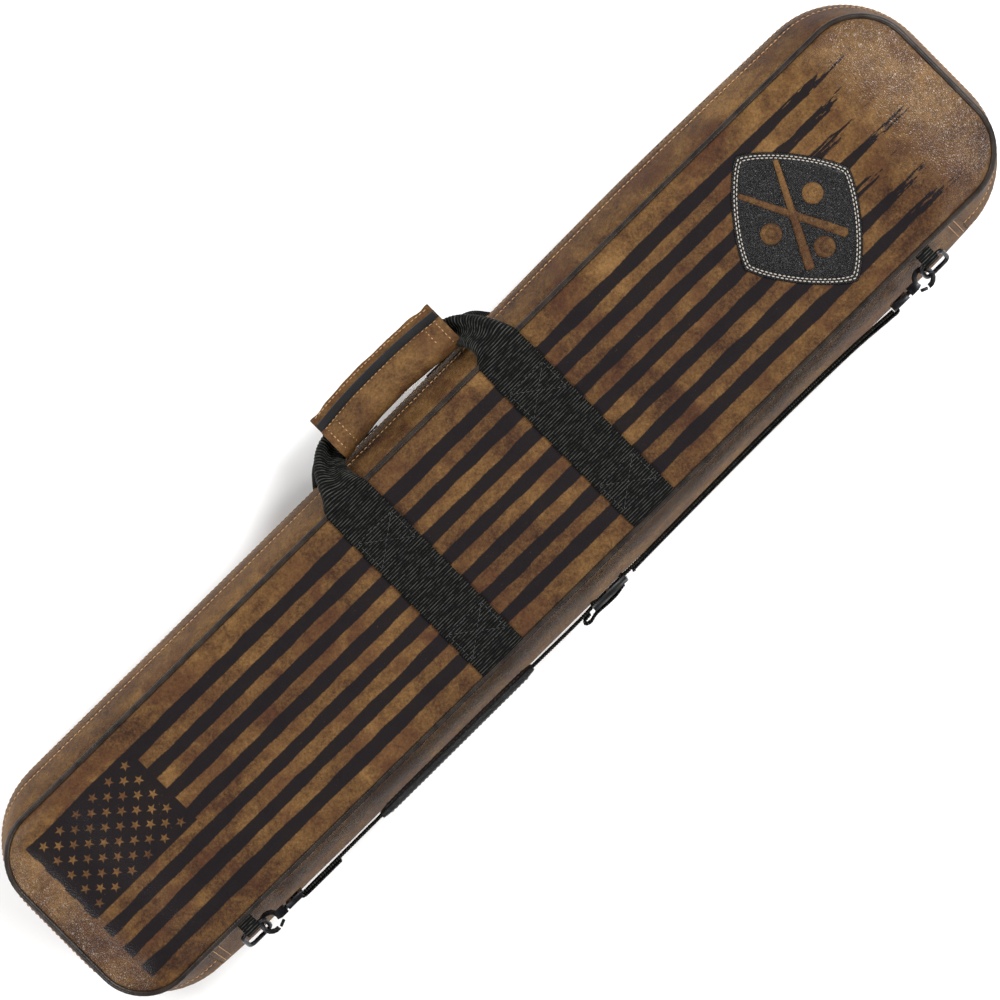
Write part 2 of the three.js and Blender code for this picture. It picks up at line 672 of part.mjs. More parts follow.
addHalf(FRONT);
addHalf(REAR);
addPanels();
addEmblem();
addHandles();
addZipSliders();
addSling();

export default cueCase;
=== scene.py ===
"""The looks of a butterfly cue case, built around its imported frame.

Shapes are worked out in millimetres in the row frame (+X along the case, +Y to the handle side, +Z to the
printed front) and scaled to metres where a mesh is made."""
import json
import math
import random

import bmesh
import bpy
import numpy as np
from mathutils import Matrix, Vector, noise
from mathutils.geometry import delaunay_2d_cdt


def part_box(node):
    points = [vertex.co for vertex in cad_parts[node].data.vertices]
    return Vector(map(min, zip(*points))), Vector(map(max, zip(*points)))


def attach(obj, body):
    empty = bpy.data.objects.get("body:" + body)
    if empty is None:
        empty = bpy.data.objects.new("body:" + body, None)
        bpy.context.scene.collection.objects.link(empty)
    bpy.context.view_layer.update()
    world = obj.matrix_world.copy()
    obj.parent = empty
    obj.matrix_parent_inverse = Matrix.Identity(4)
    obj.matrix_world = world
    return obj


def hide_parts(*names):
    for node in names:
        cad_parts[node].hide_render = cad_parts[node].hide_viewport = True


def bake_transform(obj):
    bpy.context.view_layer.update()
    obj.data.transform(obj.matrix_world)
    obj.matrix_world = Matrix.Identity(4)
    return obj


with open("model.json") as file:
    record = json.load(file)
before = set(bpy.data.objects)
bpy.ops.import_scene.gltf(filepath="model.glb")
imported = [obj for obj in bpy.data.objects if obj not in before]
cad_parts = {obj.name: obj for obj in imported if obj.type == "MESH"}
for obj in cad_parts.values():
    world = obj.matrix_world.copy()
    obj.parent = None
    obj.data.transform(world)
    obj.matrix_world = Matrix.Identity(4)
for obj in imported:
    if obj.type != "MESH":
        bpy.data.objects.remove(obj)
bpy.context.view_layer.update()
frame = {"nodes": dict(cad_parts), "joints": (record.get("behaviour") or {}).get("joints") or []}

MM = 0.001
PHOTO_WIDTH = 689.0  # millimetres across the photograph at the case's middle plane


def node_box(name):
    """A CAD node's lowest and highest corner, in millimetres."""
    low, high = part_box(name)
    return np.array(low) / MM, np.array(high) / MM


def pivot(name):
    """A point on a joint's axis, in millimetres."""
    joint = next(joint for joint in frame["joints"] if joint["name"] == name)
    return np.array(joint["pos_m"]) / MM


# ---- sizes taken from the frame ----
_, HINGE_Y, MID_Z = pivot("lid_hinge")
PIPING_LOW, PIPING_HIGH = node_box("front_piping")
PIPING_RADIUS = (PIPING_HIGH[2] - PIPING_LOW[2]) / 2
SEAM_DEPTH = (PIPING_HIGH[2] + PIPING_LOW[2]) / 2 - MID_Z
SEAM_HALF_LENGTH = PIPING_HIGH[0] - 1
SEAM_HALF_WIDTH = PIPING_HIGH[1] - 1
SEAM_RADIUS_LEFT = 38.0
SEAM_RADIUS_RIGHT = 42.0
MID_RADIUS = 66.0  # radius of the corners at the zip
SIDE_BULGE = 16.75  # how much further out the sides are at the zip than at the piping
END_BULGE = 4.0
WALL = 2.5  # thickness of the padded wall
ZIP_GAP = 4.5  # from the middle plane to the gusset's edge
HANDLE_SIDE_SWELL = 4.6  # how much fuller the wall is to the right of the grip
SWELL_FROM_ZIP = 8.0  # the wall swells on each side of the zip, which stays low between
SPINE_HALF_LENGTH = node_box("front_spine_leaf")[1][0]
CROWN_FRONT = node_box("front_panel")[1][2] - MID_Z
STRAP_LOW, STRAP_HIGH = node_box("front_strap_right")
STRAP_X = (STRAP_LOW[0] + STRAP_HIGH[0]) / 2
WEB_WIDTH = STRAP_HIGH[0] - STRAP_LOW[0]
WEB_THICKNESS = 1.7
EMBLEM_LOW, EMBLEM_HIGH = node_box("emblem_patch")
GRIP_LOW, GRIP_HIGH = node_box("grip_wrap")
SLING_LOW, SLING_HIGH = node_box("sling_webbing")


# ---- camera ----
def make_camera():
    """A long lens nearly straight above the printed face, rolled so that the case runs up to the right."""
    distance = 12.0
    roll = math.radians(44.65)
    toward = Vector((0.029, 0.054, 1.0)).normalized()
    data = bpy.data.cameras.new("camera")
    data.sensor_width = 36.0
    data.lens = data.sensor_width * distance / (PHOTO_WIDTH * MM)
    data.clip_end = 100.0
    camera = bpy.data.objects.new("camera", data)
    bpy.context.scene.collection.objects.link(camera)
    up = Vector((math.sin(roll), math.cos(roll), 0.0))
    right = up.cross(toward).normalized()
    up = toward.cross(right)
    turn = Matrix((right, up, toward)).transposed().to_4x4()
    camera.matrix_world = Matrix.Translation(toward * distance + Vector((0, 0, MID_Z * MM))) @ turn
    bpy.context.scene.camera = camera


# ---- shader helpers ----
def feed(tree, slot, value):
    """Links a node's input to a field or a socket, or sets it to a value."""
    source = value.socket if isinstance(value, Field) else value
    if isinstance(source, bpy.types.NodeSocket):
        tree.links.new(source, slot)
    else:
        slot.default_value = source


def operation(kind):
    """A method that applies one kind of arithmetic to a field."""
    return lambda field, *others: field.math(kind, *others)


class Field:
    """A number that varies over a surface: a socket of a material's node tree, with arithmetic."""

    def __init__(self, tree, socket):
        self.tree = tree
        self.socket = socket

    def math(self, kind, *others, clamp=False):
        node = self.tree.nodes.new("ShaderNodeMath")
        node.operation = kind
        node.use_clamp = clamp
        for slot, value in zip(node.inputs, (self, *others)):
            feed(self.tree, slot, value)
        return Field(self.tree, node.outputs[0])

    __add__ = operation("ADD")
    __sub__ = operation("SUBTRACT")
    __mul__ = operation("MULTIPLY")
    __truediv__ = operation("DIVIDE")
    abs = operation("ABSOLUTE")
    sine = operation("SINE")
    nearest = operation("ROUND")
    either = operation("MAXIMUM")
    both = operation("MINIMUM")

    def __neg__(self):
        return self * -1.0

    def over(self, edge, soft):
        """0 well below edge and 1 well above it, with a soft step between."""
        return ((self - (edge - soft)) / (2 * soft)).math("ADD", 0.0, clamp=True)

    def under(self, edge, soft):
        return (-self).over(-edge, soft)


def srgb(red, green, blue):
    """Linear colour from display values of 0 to 255."""
    def linear(value):
        value = value / 255
        return value / 12.92 if value <= 0.04045 else ((value + 0.055) / 1.055) ** 2.4
    return (linear(red), linear(green), linear(blue), 1.0)


class Paint:
    """A new material with its shader, and short ways to make the fields that drive it."""

    def __init__(self, name, **values):
        self.material = bpy.data.materials.new(name)
        self.material.use_nodes = True
        self.tree = self.material.node_tree
        self.shader = self.tree.nodes["Principled BSDF"]
        self.place = self.tree.nodes.new("ShaderNodeTexCoord").outputs["Object"]
        self.set(**values)

    def set(self, **values):
        """Sets the shader's inputs, or links them to what varies over the surface."""
        for name, value in values.items():
            feed(self.tree, self.shader.inputs[name.replace("_", " ").title().replace("Ior", "IOR")], value)

    def node(self, kind, inputs, **settings):
        node = self.tree.nodes.new("ShaderNode" + kind)
        for name, value in settings.items():
            setattr(node, name, value)
        for name, value in inputs.items():
            feed(self.tree, node.inputs[name], value)
        return node

    def axes(self):
        """The place in millimetres, as three fields."""
        split = self.node("SeparateXYZ", {0: self.place})
        return [Field(self.tree, out) * (1 / MM) for out in split.outputs]

    def stretched(self, x, y, z, vector=None):
        """The place, or another vector, with its axes scaled, for grain that runs one way."""
        return self.node("Mapping", {"Vector": vector or self.place, "Scale": (x, y, z)}).outputs[0]

    def noise(self, size, detail=3.0, rough=0.5, place=None, distortion=0.0):
        """Fractal noise of 0 to 1 with features about size millimetres across."""
        inputs = {
            "Vector": place or self.place, "Scale": 1 / (size * MM),
            "Detail": detail, "Roughness": rough, "Distortion": distortion,
        }
        return Field(self.tree, self.node("TexNoise", inputs).outputs[0])

    def cells(self, size, feature="F1"):
        """Distance within cells about size millimetres across."""
        inputs = {"Vector": self.place, "Scale": 1 / (size * MM)}
        return Field(self.tree, self.node("TexVoronoi", inputs, feature=feature).outputs["Distance"])

    def ramp(self, field, *stops):
        """A colour that runs through stops of position and colour as the field rises."""
        node = self.node("ValToRGB", {0: field})
        elements = node.color_ramp.elements
        while len(elements) < len(stops):
            elements.new(0.5)
        for element, (position, colour) in zip(elements, stops):
            element.position = position
            element.color = colour
        return node.outputs[0]

    def mix(self, factor, first, second):
        """Colour first where factor is 0 and second where it is 1."""
        return self.node("Mix", {"Factor": factor, 6: first, 7: second}, data_type="RGBA").outputs[2]

    def bump(self, field, depth, strength):
        """Relief: a field of 0 to 1 stands for depth millimetres."""
        relief = self.node("Bump", {"Strength": strength, "Distance": depth * MM, "Height": field}).outputs[0]
        self.set(normal=relief, coat_normal=relief)

    def sheen(self, weight, roughness):
        """A thin gloss over a nearly matte body, so that flat faces stay deep and turned ones shine."""
        self.set(specular_ior_level=0.06, coat_weight=weight, coat_roughness=roughness)


# ---- materials ----
VINYL_DARK = srgb(34, 22, 17)
VINYL_BROWN = srgb(59, 39, 25)
VINYL_GOLD = srgb(84, 60, 34)
VINYL_PALE = srgb(112, 83, 49)
VINYL_RUST = srgb(62, 36, 25)
PRINT_BLACK = srgb(17, 14, 17)

STRIPE_COUNT = 7
STRIPE_PITCH = 18.85
STRIPE_HALF = 4.9
TOP_STRIPE_Y = 55.8
STRIPES_LEFT = -399.0
STRIPES_END = 352.0  # mean x where the stripes fray out
BRUSH_REACH = 175.0  # how far the brushed ends run past each other
FRAY_REACH = 34.0
CANTON_X, CANTON_Y = -349.3, 26.65
CANTON_HALF_LENGTH, CANTON_HALF_WIDTH = 48.7, 33.95
STAR_PITCH = 15.7
STAR_ROW = 6.8
STAR_RADIUS = 3.7
STAR_NOTCH = 0.42  # radius of a star's notches as a share of its tips' radius
STAR_ROWS_HALF = 4.4  # whole rows within this many rows of the canton's middle are kept
STAR_COLUMNS_HALF = 2.6


def vinyl_look(paint):
    """Cloudy distressed brown: its colour socket, and the fields of its grain, creases and blotches."""
    clouds = paint.noise(90, detail=4, rough=0.6, distortion=0.6)
    blotches = paint.noise(19, detail=6, rough=0.7, distortion=0.4)
    specks = paint.noise(1.9, detail=4, rough=0.8)
    tone = clouds * 0.33 + blotches * 0.35 + specks * 0.32
    colour = paint.ramp(
        tone,
        (0.37, VINYL_DARK),
        (0.44, VINYL_BROWN),
        (0.52, VINYL_GOLD),
        (0.62, VINYL_PALE),
    )
    rust = paint.noise(40, detail=4, rough=0.6, distortion=0.8).over(0.55, 0.07) * 0.5
    colour = paint.mix(rust, colour, VINYL_RUST)
    pits = paint.noise(6.5, detail=5, rough=0.75).over(0.63, 0.06) * 0.6
    colour = paint.mix(pits, colour, VINYL_DARK)
    pebbles = paint.cells(1.5, feature="DISTANCE_TO_EDGE").over(0.14, 0.16)
    creases = paint.noise(7, detail=5, rough=0.6)
    grain = pebbles * 0.55 + paint.noise(0.9, detail=2) * 0.35
    return colour, grain, creases, blotches


def brown_vinyl():
    paint = Paint("brown_vinyl")
    colour, grain, creases, blotches = vinyl_look(paint)
    paint.set(base_color=colour)
    paint.set(roughness=blotches * 0.25 + 0.45)
    paint.bump(grain + creases * 0.3, 0.5, 0.7)
    paint.sheen(0.04, 0.34)
    return paint.material


def star_mask(x, y):
    """1 inside the stars of the canton: staggered rows with a five-pointed star at each place."""
    row = ((y - CANTON_Y) / STAR_ROW).nearest()
    shift = (-row.math("PINGPONG", 1.0) + 1.0) * 0.5
    across = (x - CANTON_X) / STAR_PITCH - shift
    column = across.nearest()
    a = (across - column) * STAR_PITCH
    b = y - CANTON_Y - row * STAR_ROW
    radius = (a * a + b * b).math("SQRT")
    fifth = 2 * math.pi / 5
    fold = a.math("ARCTAN2", b).math("PINGPONG", fifth / 2)
    # a point's edge runs from its tip to its notch, and lean is how far the edge's normal turns from the tip
    lean = math.atan2(1 - STAR_NOTCH * math.cos(fifth / 2), STAR_NOTCH * math.sin(fifth / 2))
    height = radius * (fold - lean).math("COSINE")
    rows = (row.abs() - STAR_ROWS_HALF).math("LESS_THAN", 0.0)
    columns = ((column + shift).abs() - STAR_COLUMNS_HALF).math("LESS_THAN", 0.0)
    return height.under(math.cos(lean) * STAR_RADIUS, 0.22) * rows * columns


def flag_mask(paint):
    """1 where the dark flag print lies."""
    x, y, _ = paint.axes()
    ripple = (paint.noise(30, detail=1) - 0.5) * 3.2 + (paint.noise(2.2, detail=3) - 0.5) * 1.0
    from_top = (-(y - TOP_STRIPE_Y)) / STRIPE_PITCH
    index = from_top.nearest().both(STRIPE_COUNT - 1.0).either(0.0)
    offset = (from_top - index).abs() * STRIPE_PITCH
    brush = paint.noise(2.5, detail=3, rough=0.6, place=paint.stretched(0.022, 1.0, 1.0)) - 0.5
    ragged = brush * BRUSH_REACH + (paint.noise(7, detail=4) - 0.5) * FRAY_REACH
    ends = (index * 2.4 + 0.9).sine() * 20.0 + STRIPES_END
    taper = ((x - 250.0) / 150.0).either(0.0) * 2.2
    stripe = (offset + ripple + taper).under(STRIPE_HALF, 0.35)
    started = x.over(STRIPES_LEFT, 0.4)
    stopped = (ends + ragged - x).over(0.0, 1.5)
    stripes = stripe * started * stopped
    inside = (x - CANTON_X).abs().under(CANTON_HALF_LENGTH, 0.3)
    inside = inside * (y - CANTON_Y).abs().under(CANTON_HALF_WIDTH, 0.3)
    stars = star_mask(x, y)
    worn = paint.noise(3.2, detail=5, rough=0.8).over(0.30, 0.05)
    return stripes.either(inside) * ((-(stars * inside)) + 1.0) * worn


def printed_vinyl():
    """The print over the same vinyl, whose grain is fine and flat in the middle and coarse at both ends."""
    paint = Paint("printed_vinyl")
    colour, grain, creases, blotches = vinyl_look(paint)
    mask = flag_mask(paint)
    x = paint.axes()[0]
    near_end = x.over(SEAM_HALF_LENGTH - 52, 26).either((-x).over(SEAM_HALF_LENGTH - 20, 10))
    relief = grain * (near_end * 0.38 + 0.1) + creases * 0.06
    paint.set(base_color=paint.mix(mask * 0.97, colour, PRINT_BLACK))
    paint.set(roughness=blotches * 0.2 + 0.42 + mask * 0.1)
    paint.bump(relief, 1.0, 0.9)
    paint.sheen(near_end * 0.52 + 0.08, 0.22)
    return paint.material


def piping_vinyl():
    paint = Paint("piping_vinyl")
    tone = paint.noise(11, detail=4)
    paint.set(base_color=paint.ramp(tone, (0.35, srgb(26, 22, 20)), (0.65, srgb(44, 37, 32))))
    paint.set(roughness=paint.noise(4) * 0.2 + 0.34)
    paint.bump(paint.cells(1.1), 0.25, 0.4)
    paint.sheen(0.22, 0.26)
    return paint.material


WEB_RIB = 1.95  # distance between the webbing's ribs
GLINT_AND_FLOAT_LENGTH = 6.5  # length of the yarn that shows on a rib, and of each painted glint along it


def black_webbing():
    """Woven black nylon: short floats of yarn along the ribs that the mesh itself carries, their glints
    painted into the colour as pale dashes on the ribs' crests.
    """
    paint = Paint("webbing", roughness=0.6)
    weave = paint.node("Attribute", {}, attribute_name="weave").outputs["Vector"]
    split = paint.node("SeparateXYZ", {0: weave})
    across = Field(paint.tree, split.outputs[0])
    along = Field(paint.tree, split.outputs[1])
    rib = (along * (2 * math.pi / WEB_RIB)).sine() * 0.5 + 0.5
    warp = (across * (2 * math.pi / 1.3)).sine() * 0.5 + 0.5
    floats = paint.stretched(MM / GLINT_AND_FLOAT_LENGTH, MM / WEB_RIB, 0.0, weave)
    flecks = paint.noise(1.0, detail=2, rough=0.7, place=floats)
    # painted highlight: pale glints on the crests of the ribs, broken up by the floats' noise
    painted_glint = rib.over(0.84, 0.13) * (flecks.over(0.5, 0.09) * 0.85 + 0.15)
    base = paint.ramp(paint.noise(5, detail=4), (0.35, srgb(2, 2, 2)), (0.7, srgb(7, 7, 7)))
    # painted highlight: the glints lighten the black towards pale grey
    paint.set(base_color=paint.mix(painted_glint * 0.22, base, srgb(126, 127, 120)))
    paint.set(roughness=paint.noise(6, detail=4) * 0.3 + 0.5)
    paint.bump(rib * 0.5 + warp * 0.25 + flecks * 0.35, 0.5, 0.75)
    paint.set(specular_ior_level=0.06)
    return paint.material


def smooth_leather(name, dark, light, roughness):
    """Even black leather with fine pores."""
    paint = Paint(name)
    paint.set(base_color=paint.ramp(paint.noise(14, detail=4), (0.3, dark), (0.7, light)))
    paint.set(roughness=paint.noise(5, detail=3) * 0.2 + roughness)
    pores = paint.cells(0.9, feature="DISTANCE_TO_EDGE").over(0.1, 0.12)
    paint.bump(pores * 0.5 + paint.noise(9, detail=3) * 0.2, 0.35, 0.8)
    paint.sheen(0.22, 0.22)
    return paint.material


def black_metal():
    paint = Paint("black_metal", metallic=0.85)
    tone = paint.noise(3, detail=4)
    paint.set(base_color=paint.ramp(tone, (0.4, srgb(22, 22, 24)), (0.7, srgb(44, 44, 47))))
    paint.set(roughness=paint.noise(1.8, detail=3) * 0.25 + 0.24)
    paint.bump(paint.noise(0.7, detail=2), 0.06, 0.4)
    return paint.material


def black_plastic(name):
    paint = Paint(name)
    paint.set(base_color=paint.ramp(paint.noise(4, detail=3), (0.35, srgb(6, 6, 7)), (0.7, srgb(18, 18, 19))))
    paint.set(roughness=paint.noise(2, detail=3) * 0.2 + 0.26)
    paint.bump(paint.noise(0.5, detail=2), 0.05, 0.35)
    paint.set(specular_ior_level=0.3)
    return paint.material


def pile(name, dark, light, size, depth):
    """Brushed or looped cloth."""
    paint = Paint(name, roughness=0.95)
    fibre = paint.noise(size, detail=4, rough=0.75)
    shade = paint.noise(30, detail=3)
    paint.set(base_color=paint.ramp(fibre * 0.6 + shade * 0.4, (0.35, dark), (0.68, light)))
    paint.bump(fibre, depth, 0.8)
    paint.set(sheen_weight=0.2, sheen_roughness=0.5, specular_ior_level=0.1)
    return paint.material


def woven(name, dark, light, pitch):
    """Tight plain weave, as on zip tape and elastic."""
    paint = Paint(name, roughness=0.8)
    x, y, z = paint.axes()
    lines = ((x + y) * (2 * math.pi / pitch)).sine() * ((z + y) * (2 * math.pi / pitch)).sine()
    weave = lines * 0.5 + 0.5
    paint.set(base_color=paint.ramp(weave * 0.7 + paint.noise(2) * 0.3, (0.3, dark), (0.8, light)))
    paint.bump(weave, 0.25, 0.7)
    return paint.material


def fibre_board():
    """Brown pressed board, flecked along its length."""
    paint = Paint("fibre_board", roughness=0.9)
    flecks = paint.noise(1.6, detail=5, rough=0.8, place=paint.stretched(0.3, 1.0, 1.0))
    paint.set(base_color=paint.ramp(flecks, (0.35, srgb(112, 92, 66)), (0.65, srgb(160, 138, 104))))
    paint.bump(flecks, 0.3, 0.5)
    return paint.material


def thread(name, dark, light):
    """Twisted sewing thread."""
    paint = Paint(name, roughness=0.6)
    twist = paint.noise(0.45, detail=2)
    paint.set(base_color=paint.ramp(twist, (0.3, dark), (0.7, light)))
    paint.bump(twist, 0.12, 0.6)
    return paint.material


# ---- mesh helpers ----
def make_piece(name, shape, material, body=None, node=None, clean=True):
    """A mesh object from points in millimetres that rides on a body and stands for a CAD node."""
    verts, faces = shape
    mesh = bpy.data.meshes.new(name)
    points = np.asarray(verts, dtype=float) * MM
    mesh.from_pydata([tuple(p) for p in points], [], [tuple(int(i) for i in f) for f in faces])
    if clean:
        work = bmesh.new()
        work.from_mesh(mesh)
        bmesh.ops.remove_doubles(work, verts=work.verts, dist=1e-6)
        bmesh.ops.recalc_face_normals(work, faces=work.faces)
        work.to_mesh(mesh)
        work.free()
    mesh.shade_smooth()
    mesh.materials.append(material)
    piece = bpy.data.objects.new(name, mesh)
    bpy.context.scene.collection.objects.link(piece)
    if body:
        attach(piece, body)
    if node:
        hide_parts(node)
    return piece


def half_piece(label, name, shape, material, node=None):
    """A piece on one half, which may stand for a CAD node there."""
    make_piece(f"{label}_{name}", shape, material, f"{label}_half", node and f"{label}_{node}")


def skin(sections, loop=False, caps=True):
    """Faces between neighbouring closed sections. sections is an array of rows, points and coordinates."""
    sections = np.asarray(sections)
    rows, count = sections.shape[:2]
    here = np.arange(count)
    after = (here + 1) % count
    faces = []
    for row in range(rows if loop else rows - 1):
        a = row * count
        b = (row + 1) % rows * count
        faces.extend(zip(a + here, a + after, b + after, b + here))
    if caps and not loop:
        faces.append(tuple(here[::-1]))
        faces.append(tuple((rows - 1) * count + here))
    return sections.reshape(-1, 3), faces


def merge(parts):
    """One shape from several."""
    verts = []
    faces = []
    start = 0
    for points, polygons in parts:
        verts.append(np.asarray(points, dtype=float))
        faces.extend(tuple(int(i) + start for i in polygon) for polygon in polygons)
        start += len(points)
    return np.concatenate(verts), faces


def table(*columns):
    """Rows of numbers from columns or blocks of columns. A single number fills its column."""
    rows = max(len(column) for column in columns if np.ndim(column))
    return np.column_stack([column if np.ndim(column) else np.full(rows, column) for column in columns])


def turns(count):
    """Angles evenly round a circle."""
    return np.arange(count) * 2 * math.pi / count


def unit(rows):
    return rows / np.maximum(np.linalg.norm(rows, axis=-1, keepdims=True), 1e-9)


def run_lengths(path):
    """How far along a path each of its points lies."""
    return np.concatenate(([0.0], np.cumsum(np.linalg.norm(np.diff(path, axis=0), axis=1))))


def along_path(distance, lengths, rows):
    """The rows of a path at one distance along it or at many."""
    columns = np.asarray(rows, dtype=float).T
    return np.stack([np.interp(distance, lengths, column) for column in columns], axis=-1)


def smooth_path(stops, per_span=8):
    """A Catmull-Rom curve through rows of numbers."""
    stops = np.asarray(stops, dtype=float)
    padded = np.vstack((2 * stops[0] - stops[1], stops, 2 * stops[-1] - stops[-2]))
    rows = []
    for i in range(1, len(padded) - 2):
        p0, p1, p2, p3 = padded[i - 1:i + 3]
        for t in np.arange(per_span) / per_span:
            rows.append(0.5 * (2 * p1 + (p2 - p0) * t + (2 * p0 - 5 * p1 + 4 * p2 - p3) * t * t
                               + (3 * p1 - p0 - 3 * p2 + p3) * t ** 3))
    rows.append(stops[-1])
    return np.array(rows)


def wander(points, size, amount, seed):
    """Smooth random heights at points, with features about size millimetres across."""
    shift = Vector((seed * 17.3, seed * 5.1, seed * 9.7))
    return np.array([amount * noise.noise(Vector(p) / size + shift) for p in points])


def waves(*columns):
    """Smooth noise at places whose coordinates are columns or single numbers."""
    return np.array([noise.noise(Vector(place)) for place in table(*columns)])


# ---- outlines of the halves ----
CORNER_POINTS = 14
SIDE_STEPS = 130
END_STEPS = 18
EXTRA_STEPS = 4
SPINE_EDGE = SPINE_HALF_LENGTH - 1


def spread(start, finish, steps):
    """Points after start, up to but not at finish."""
    blend = (np.arange(1, steps) / steps)[:, None]
    return np.asarray(start) * (1 - blend) + np.asarray(finish) * blend


def long_side(start, finish):
    """Points between two corners, with one at each end of the spine whatever the corners' radii."""
    turn = math.copysign(SPINE_EDGE, start[0])
    first = np.array((turn, start[1]))
    last = np.array((-turn, start[1]))
    return np.concatenate((
        spread(start, first, EXTRA_STEPS), [first],
        spread(first, last, SIDE_STEPS), [last],
        spread(last, finish, EXTRA_STEPS),
    ))


def rounded_outline(x_half, y_low, y_high, radius_left, radius_right):
    """Points around a rounded rectangle, with as many points on each stretch whatever its size."""
    widest = (y_high - y_low) * 0.4
    radius_left = min(max(radius_left, 0.4), widest)
    radius_right = min(max(radius_right, 0.4), widest)
    corners = [
        (x_half - radius_right, y_high - radius_right, radius_right),
        (-x_half + radius_left, y_high - radius_left, radius_left),
        (-x_half + radius_left, y_low + radius_left, radius_left),
        (x_half - radius_right, y_low + radius_right, radius_right),
    ]
    points = []
    for quarter, (x, y, radius) in enumerate(corners):
        angles = (quarter + np.arange(CORNER_POINTS) / (CORNER_POINTS - 1)) * math.pi / 2
        arc = table(x + radius * np.cos(angles), y + radius * np.sin(angles))
        points.append(arc)
        nx, ny, nr = corners[(quarter + 1) % 4]
        start_angle = (quarter + 1) * math.pi / 2
        finish = np.array((nx + nr * math.cos(start_angle), ny + nr * math.sin(start_angle)))
        points.append(long_side(arc[-1], finish) if quarter % 2 == 0 else spread(arc[-1], finish, END_STEPS))
    return np.concatenate(points)


def seam_outline(side, depth, inset):
    """The piping seam's outline, drawn in by inset. side is 1 for the front half and -1 for the rear."""
    flat = rounded_outline(
        SEAM_HALF_LENGTH - inset,
        -SEAM_HALF_WIDTH + inset,
        SEAM_HALF_WIDTH - inset,
        SEAM_RADIUS_LEFT - inset,
        SEAM_RADIUS_RIGHT - inset,
    )
    return table(flat, MID_Z + side * depth)


def shell_outline(side, depth, inset=0.0):
    """The wall's outline at a depth from the middle plane."""
    level = max(depth, 0.0) / SEAM_DEPTH
    bulge = 1 - level * level
    flat = rounded_outline(
        SEAM_HALF_LENGTH + END_BULGE * bulge - inset,
        -(SEAM_HALF_WIDTH + SIDE_BULGE * (1 - level)) + inset,
        SEAM_HALF_WIDTH + SIDE_BULGE * bulge - inset,
        SEAM_RADIUS_LEFT + (MID_RADIUS - SEAM_RADIUS_LEFT) * bulge - inset,
        SEAM_RADIUS_RIGHT + (MID_RADIUS - SEAM_RADIUS_RIGHT) * bulge - inset,
    )
    beside_zip = 1 - math.exp(-(depth / SWELL_FROM_ZIP) ** 2)
    fuller = HANDLE_SIDE_SWELL * np.exp(-((flat[:, 0] - 215) / 150) ** 2) * bulge * beside_zip
    flat[:, 1] += fuller * np.clip(flat[:, 1] / SEAM_HALF_WIDTH, 0, 1)
    return table(flat, MID_Z + side * depth)


def off_spine(outline):
    """Which points of an outline are on the gusset, and not on the spine."""
    return (outline[:, 1] >= 0) | (np.abs(outline[:, 0]) >= SPINE_EDGE - 0.1)


def round_wall(outline):
    """The indices of the gusset's points in order, from one end of the spine round to the other."""
    keep = off_spine(outline)
    order = np.roll(np.arange(len(outline)), -int(np.argmin(keep)))
    return order[keep[order]]


def open_ring(outer, inner):
    """The skin of a ring of outlines that is open along the spine, capped where it is cut."""
    sections = np.concatenate((outer, inner))
    rows, count = sections.shape[:2]
    keep = off_spine(outer[0])
    verts, faces = skin(sections, loop=True)
    faces = [face for face in faces if keep[[i % count for i in face]].all()]
    cuts = [i for i in range(count) if keep[i] and not (keep[i - 1] and keep[(i + 1) % count])]
    faces += [tuple(row * count + i for row in range(rows)) for i in cuts]
    used = sorted({i for face in faces for i in face})
    new = {old: k for k, old in enumerate(used)}
    return verts[used], [tuple(new[i] for i in face) for face in faces]


# ---- stitches ----
# along each stitch: its share of the run, its girth and its lift, in radii
STITCH_PROFILE = (
    (0.0, 0.35, -0.9), (0.22, 0.95, -0.05), (0.5, 1.1, 0.25), (0.78, 0.95, -0.05), (1.0, 0.35, -0.9),
)


def stitches(path, normals, pitch, radius, gap=1.1, sink=0.1, closed=False):
    """Short raised threads along a path. Each is a slim bead that dips into the surface at both ends."""
    path = np.asarray(path, dtype=float)
    normals = unit(np.broadcast_to(np.asarray(normals, dtype=float), path.shape))
    if closed:
        path = np.vstack((path, path[:1]))
        normals = np.vstack((normals, normals[:1]))
    lengths = run_lengths(path)
    count = max(int(lengths[-1] / pitch), 1)
    step = lengths[-1] / count
    look = 0.2  # how far to look each way for the path's direction
    parts = []
    for i in range(count):
        sections = []
        for t, girth, lift in STITCH_PROFILE:
            place = i * step + gap / 2 + (step - gap) * t
            normal = unit(along_path(place, lengths, normals))
            ahead = along_path(min(place + look, lengths[-1]), lengths, path)
            behind = along_path(max(place - look, 0.0), lengths, path)
            across = unit(np.cross(unit(ahead - behind), normal))
            centre = along_path(place, lengths, path) + normal * (radius * (lift + 0.35) - sink)
            girth *= radius
            sections.append([
                centre + girth * (math.cos(a) * across + 0.8 * math.sin(a) * normal) for a in turns(6)
            ])
        parts.append(skin(sections))
    return merge(parts)


def box_stitch(centre, size, normal, cross=True, **options):
    """A sewn rectangle that lies flat, with a diagonal cross unless cross is False."""
    x, y, z = centre
    dx, dy = size[0] / 2, size[1] / 2
    corners = [(x - dx, y - dy, z), (x + dx, y - dy, z), (x + dx, y + dy, z), (x - dx, y + dy, z)]
    runs = [(corners[i], corners[(i + 1) % 4]) for i in range(4)]
    if cross:
        runs += [(corners[0], corners[2]), (corners[1], corners[3])]
    return merge([stitches(run, normal, **options) for run in runs])


# ---- webbing ----
CURL = 1.5  # radians that each half of the width rolls through where webbing is fully gathered
FOLD = 1.25  # how steeply its pleats stand there
FOLD_WAVES = 5.2
STOP_SPACING = 0.39  # between the mesh's rows along the webbing


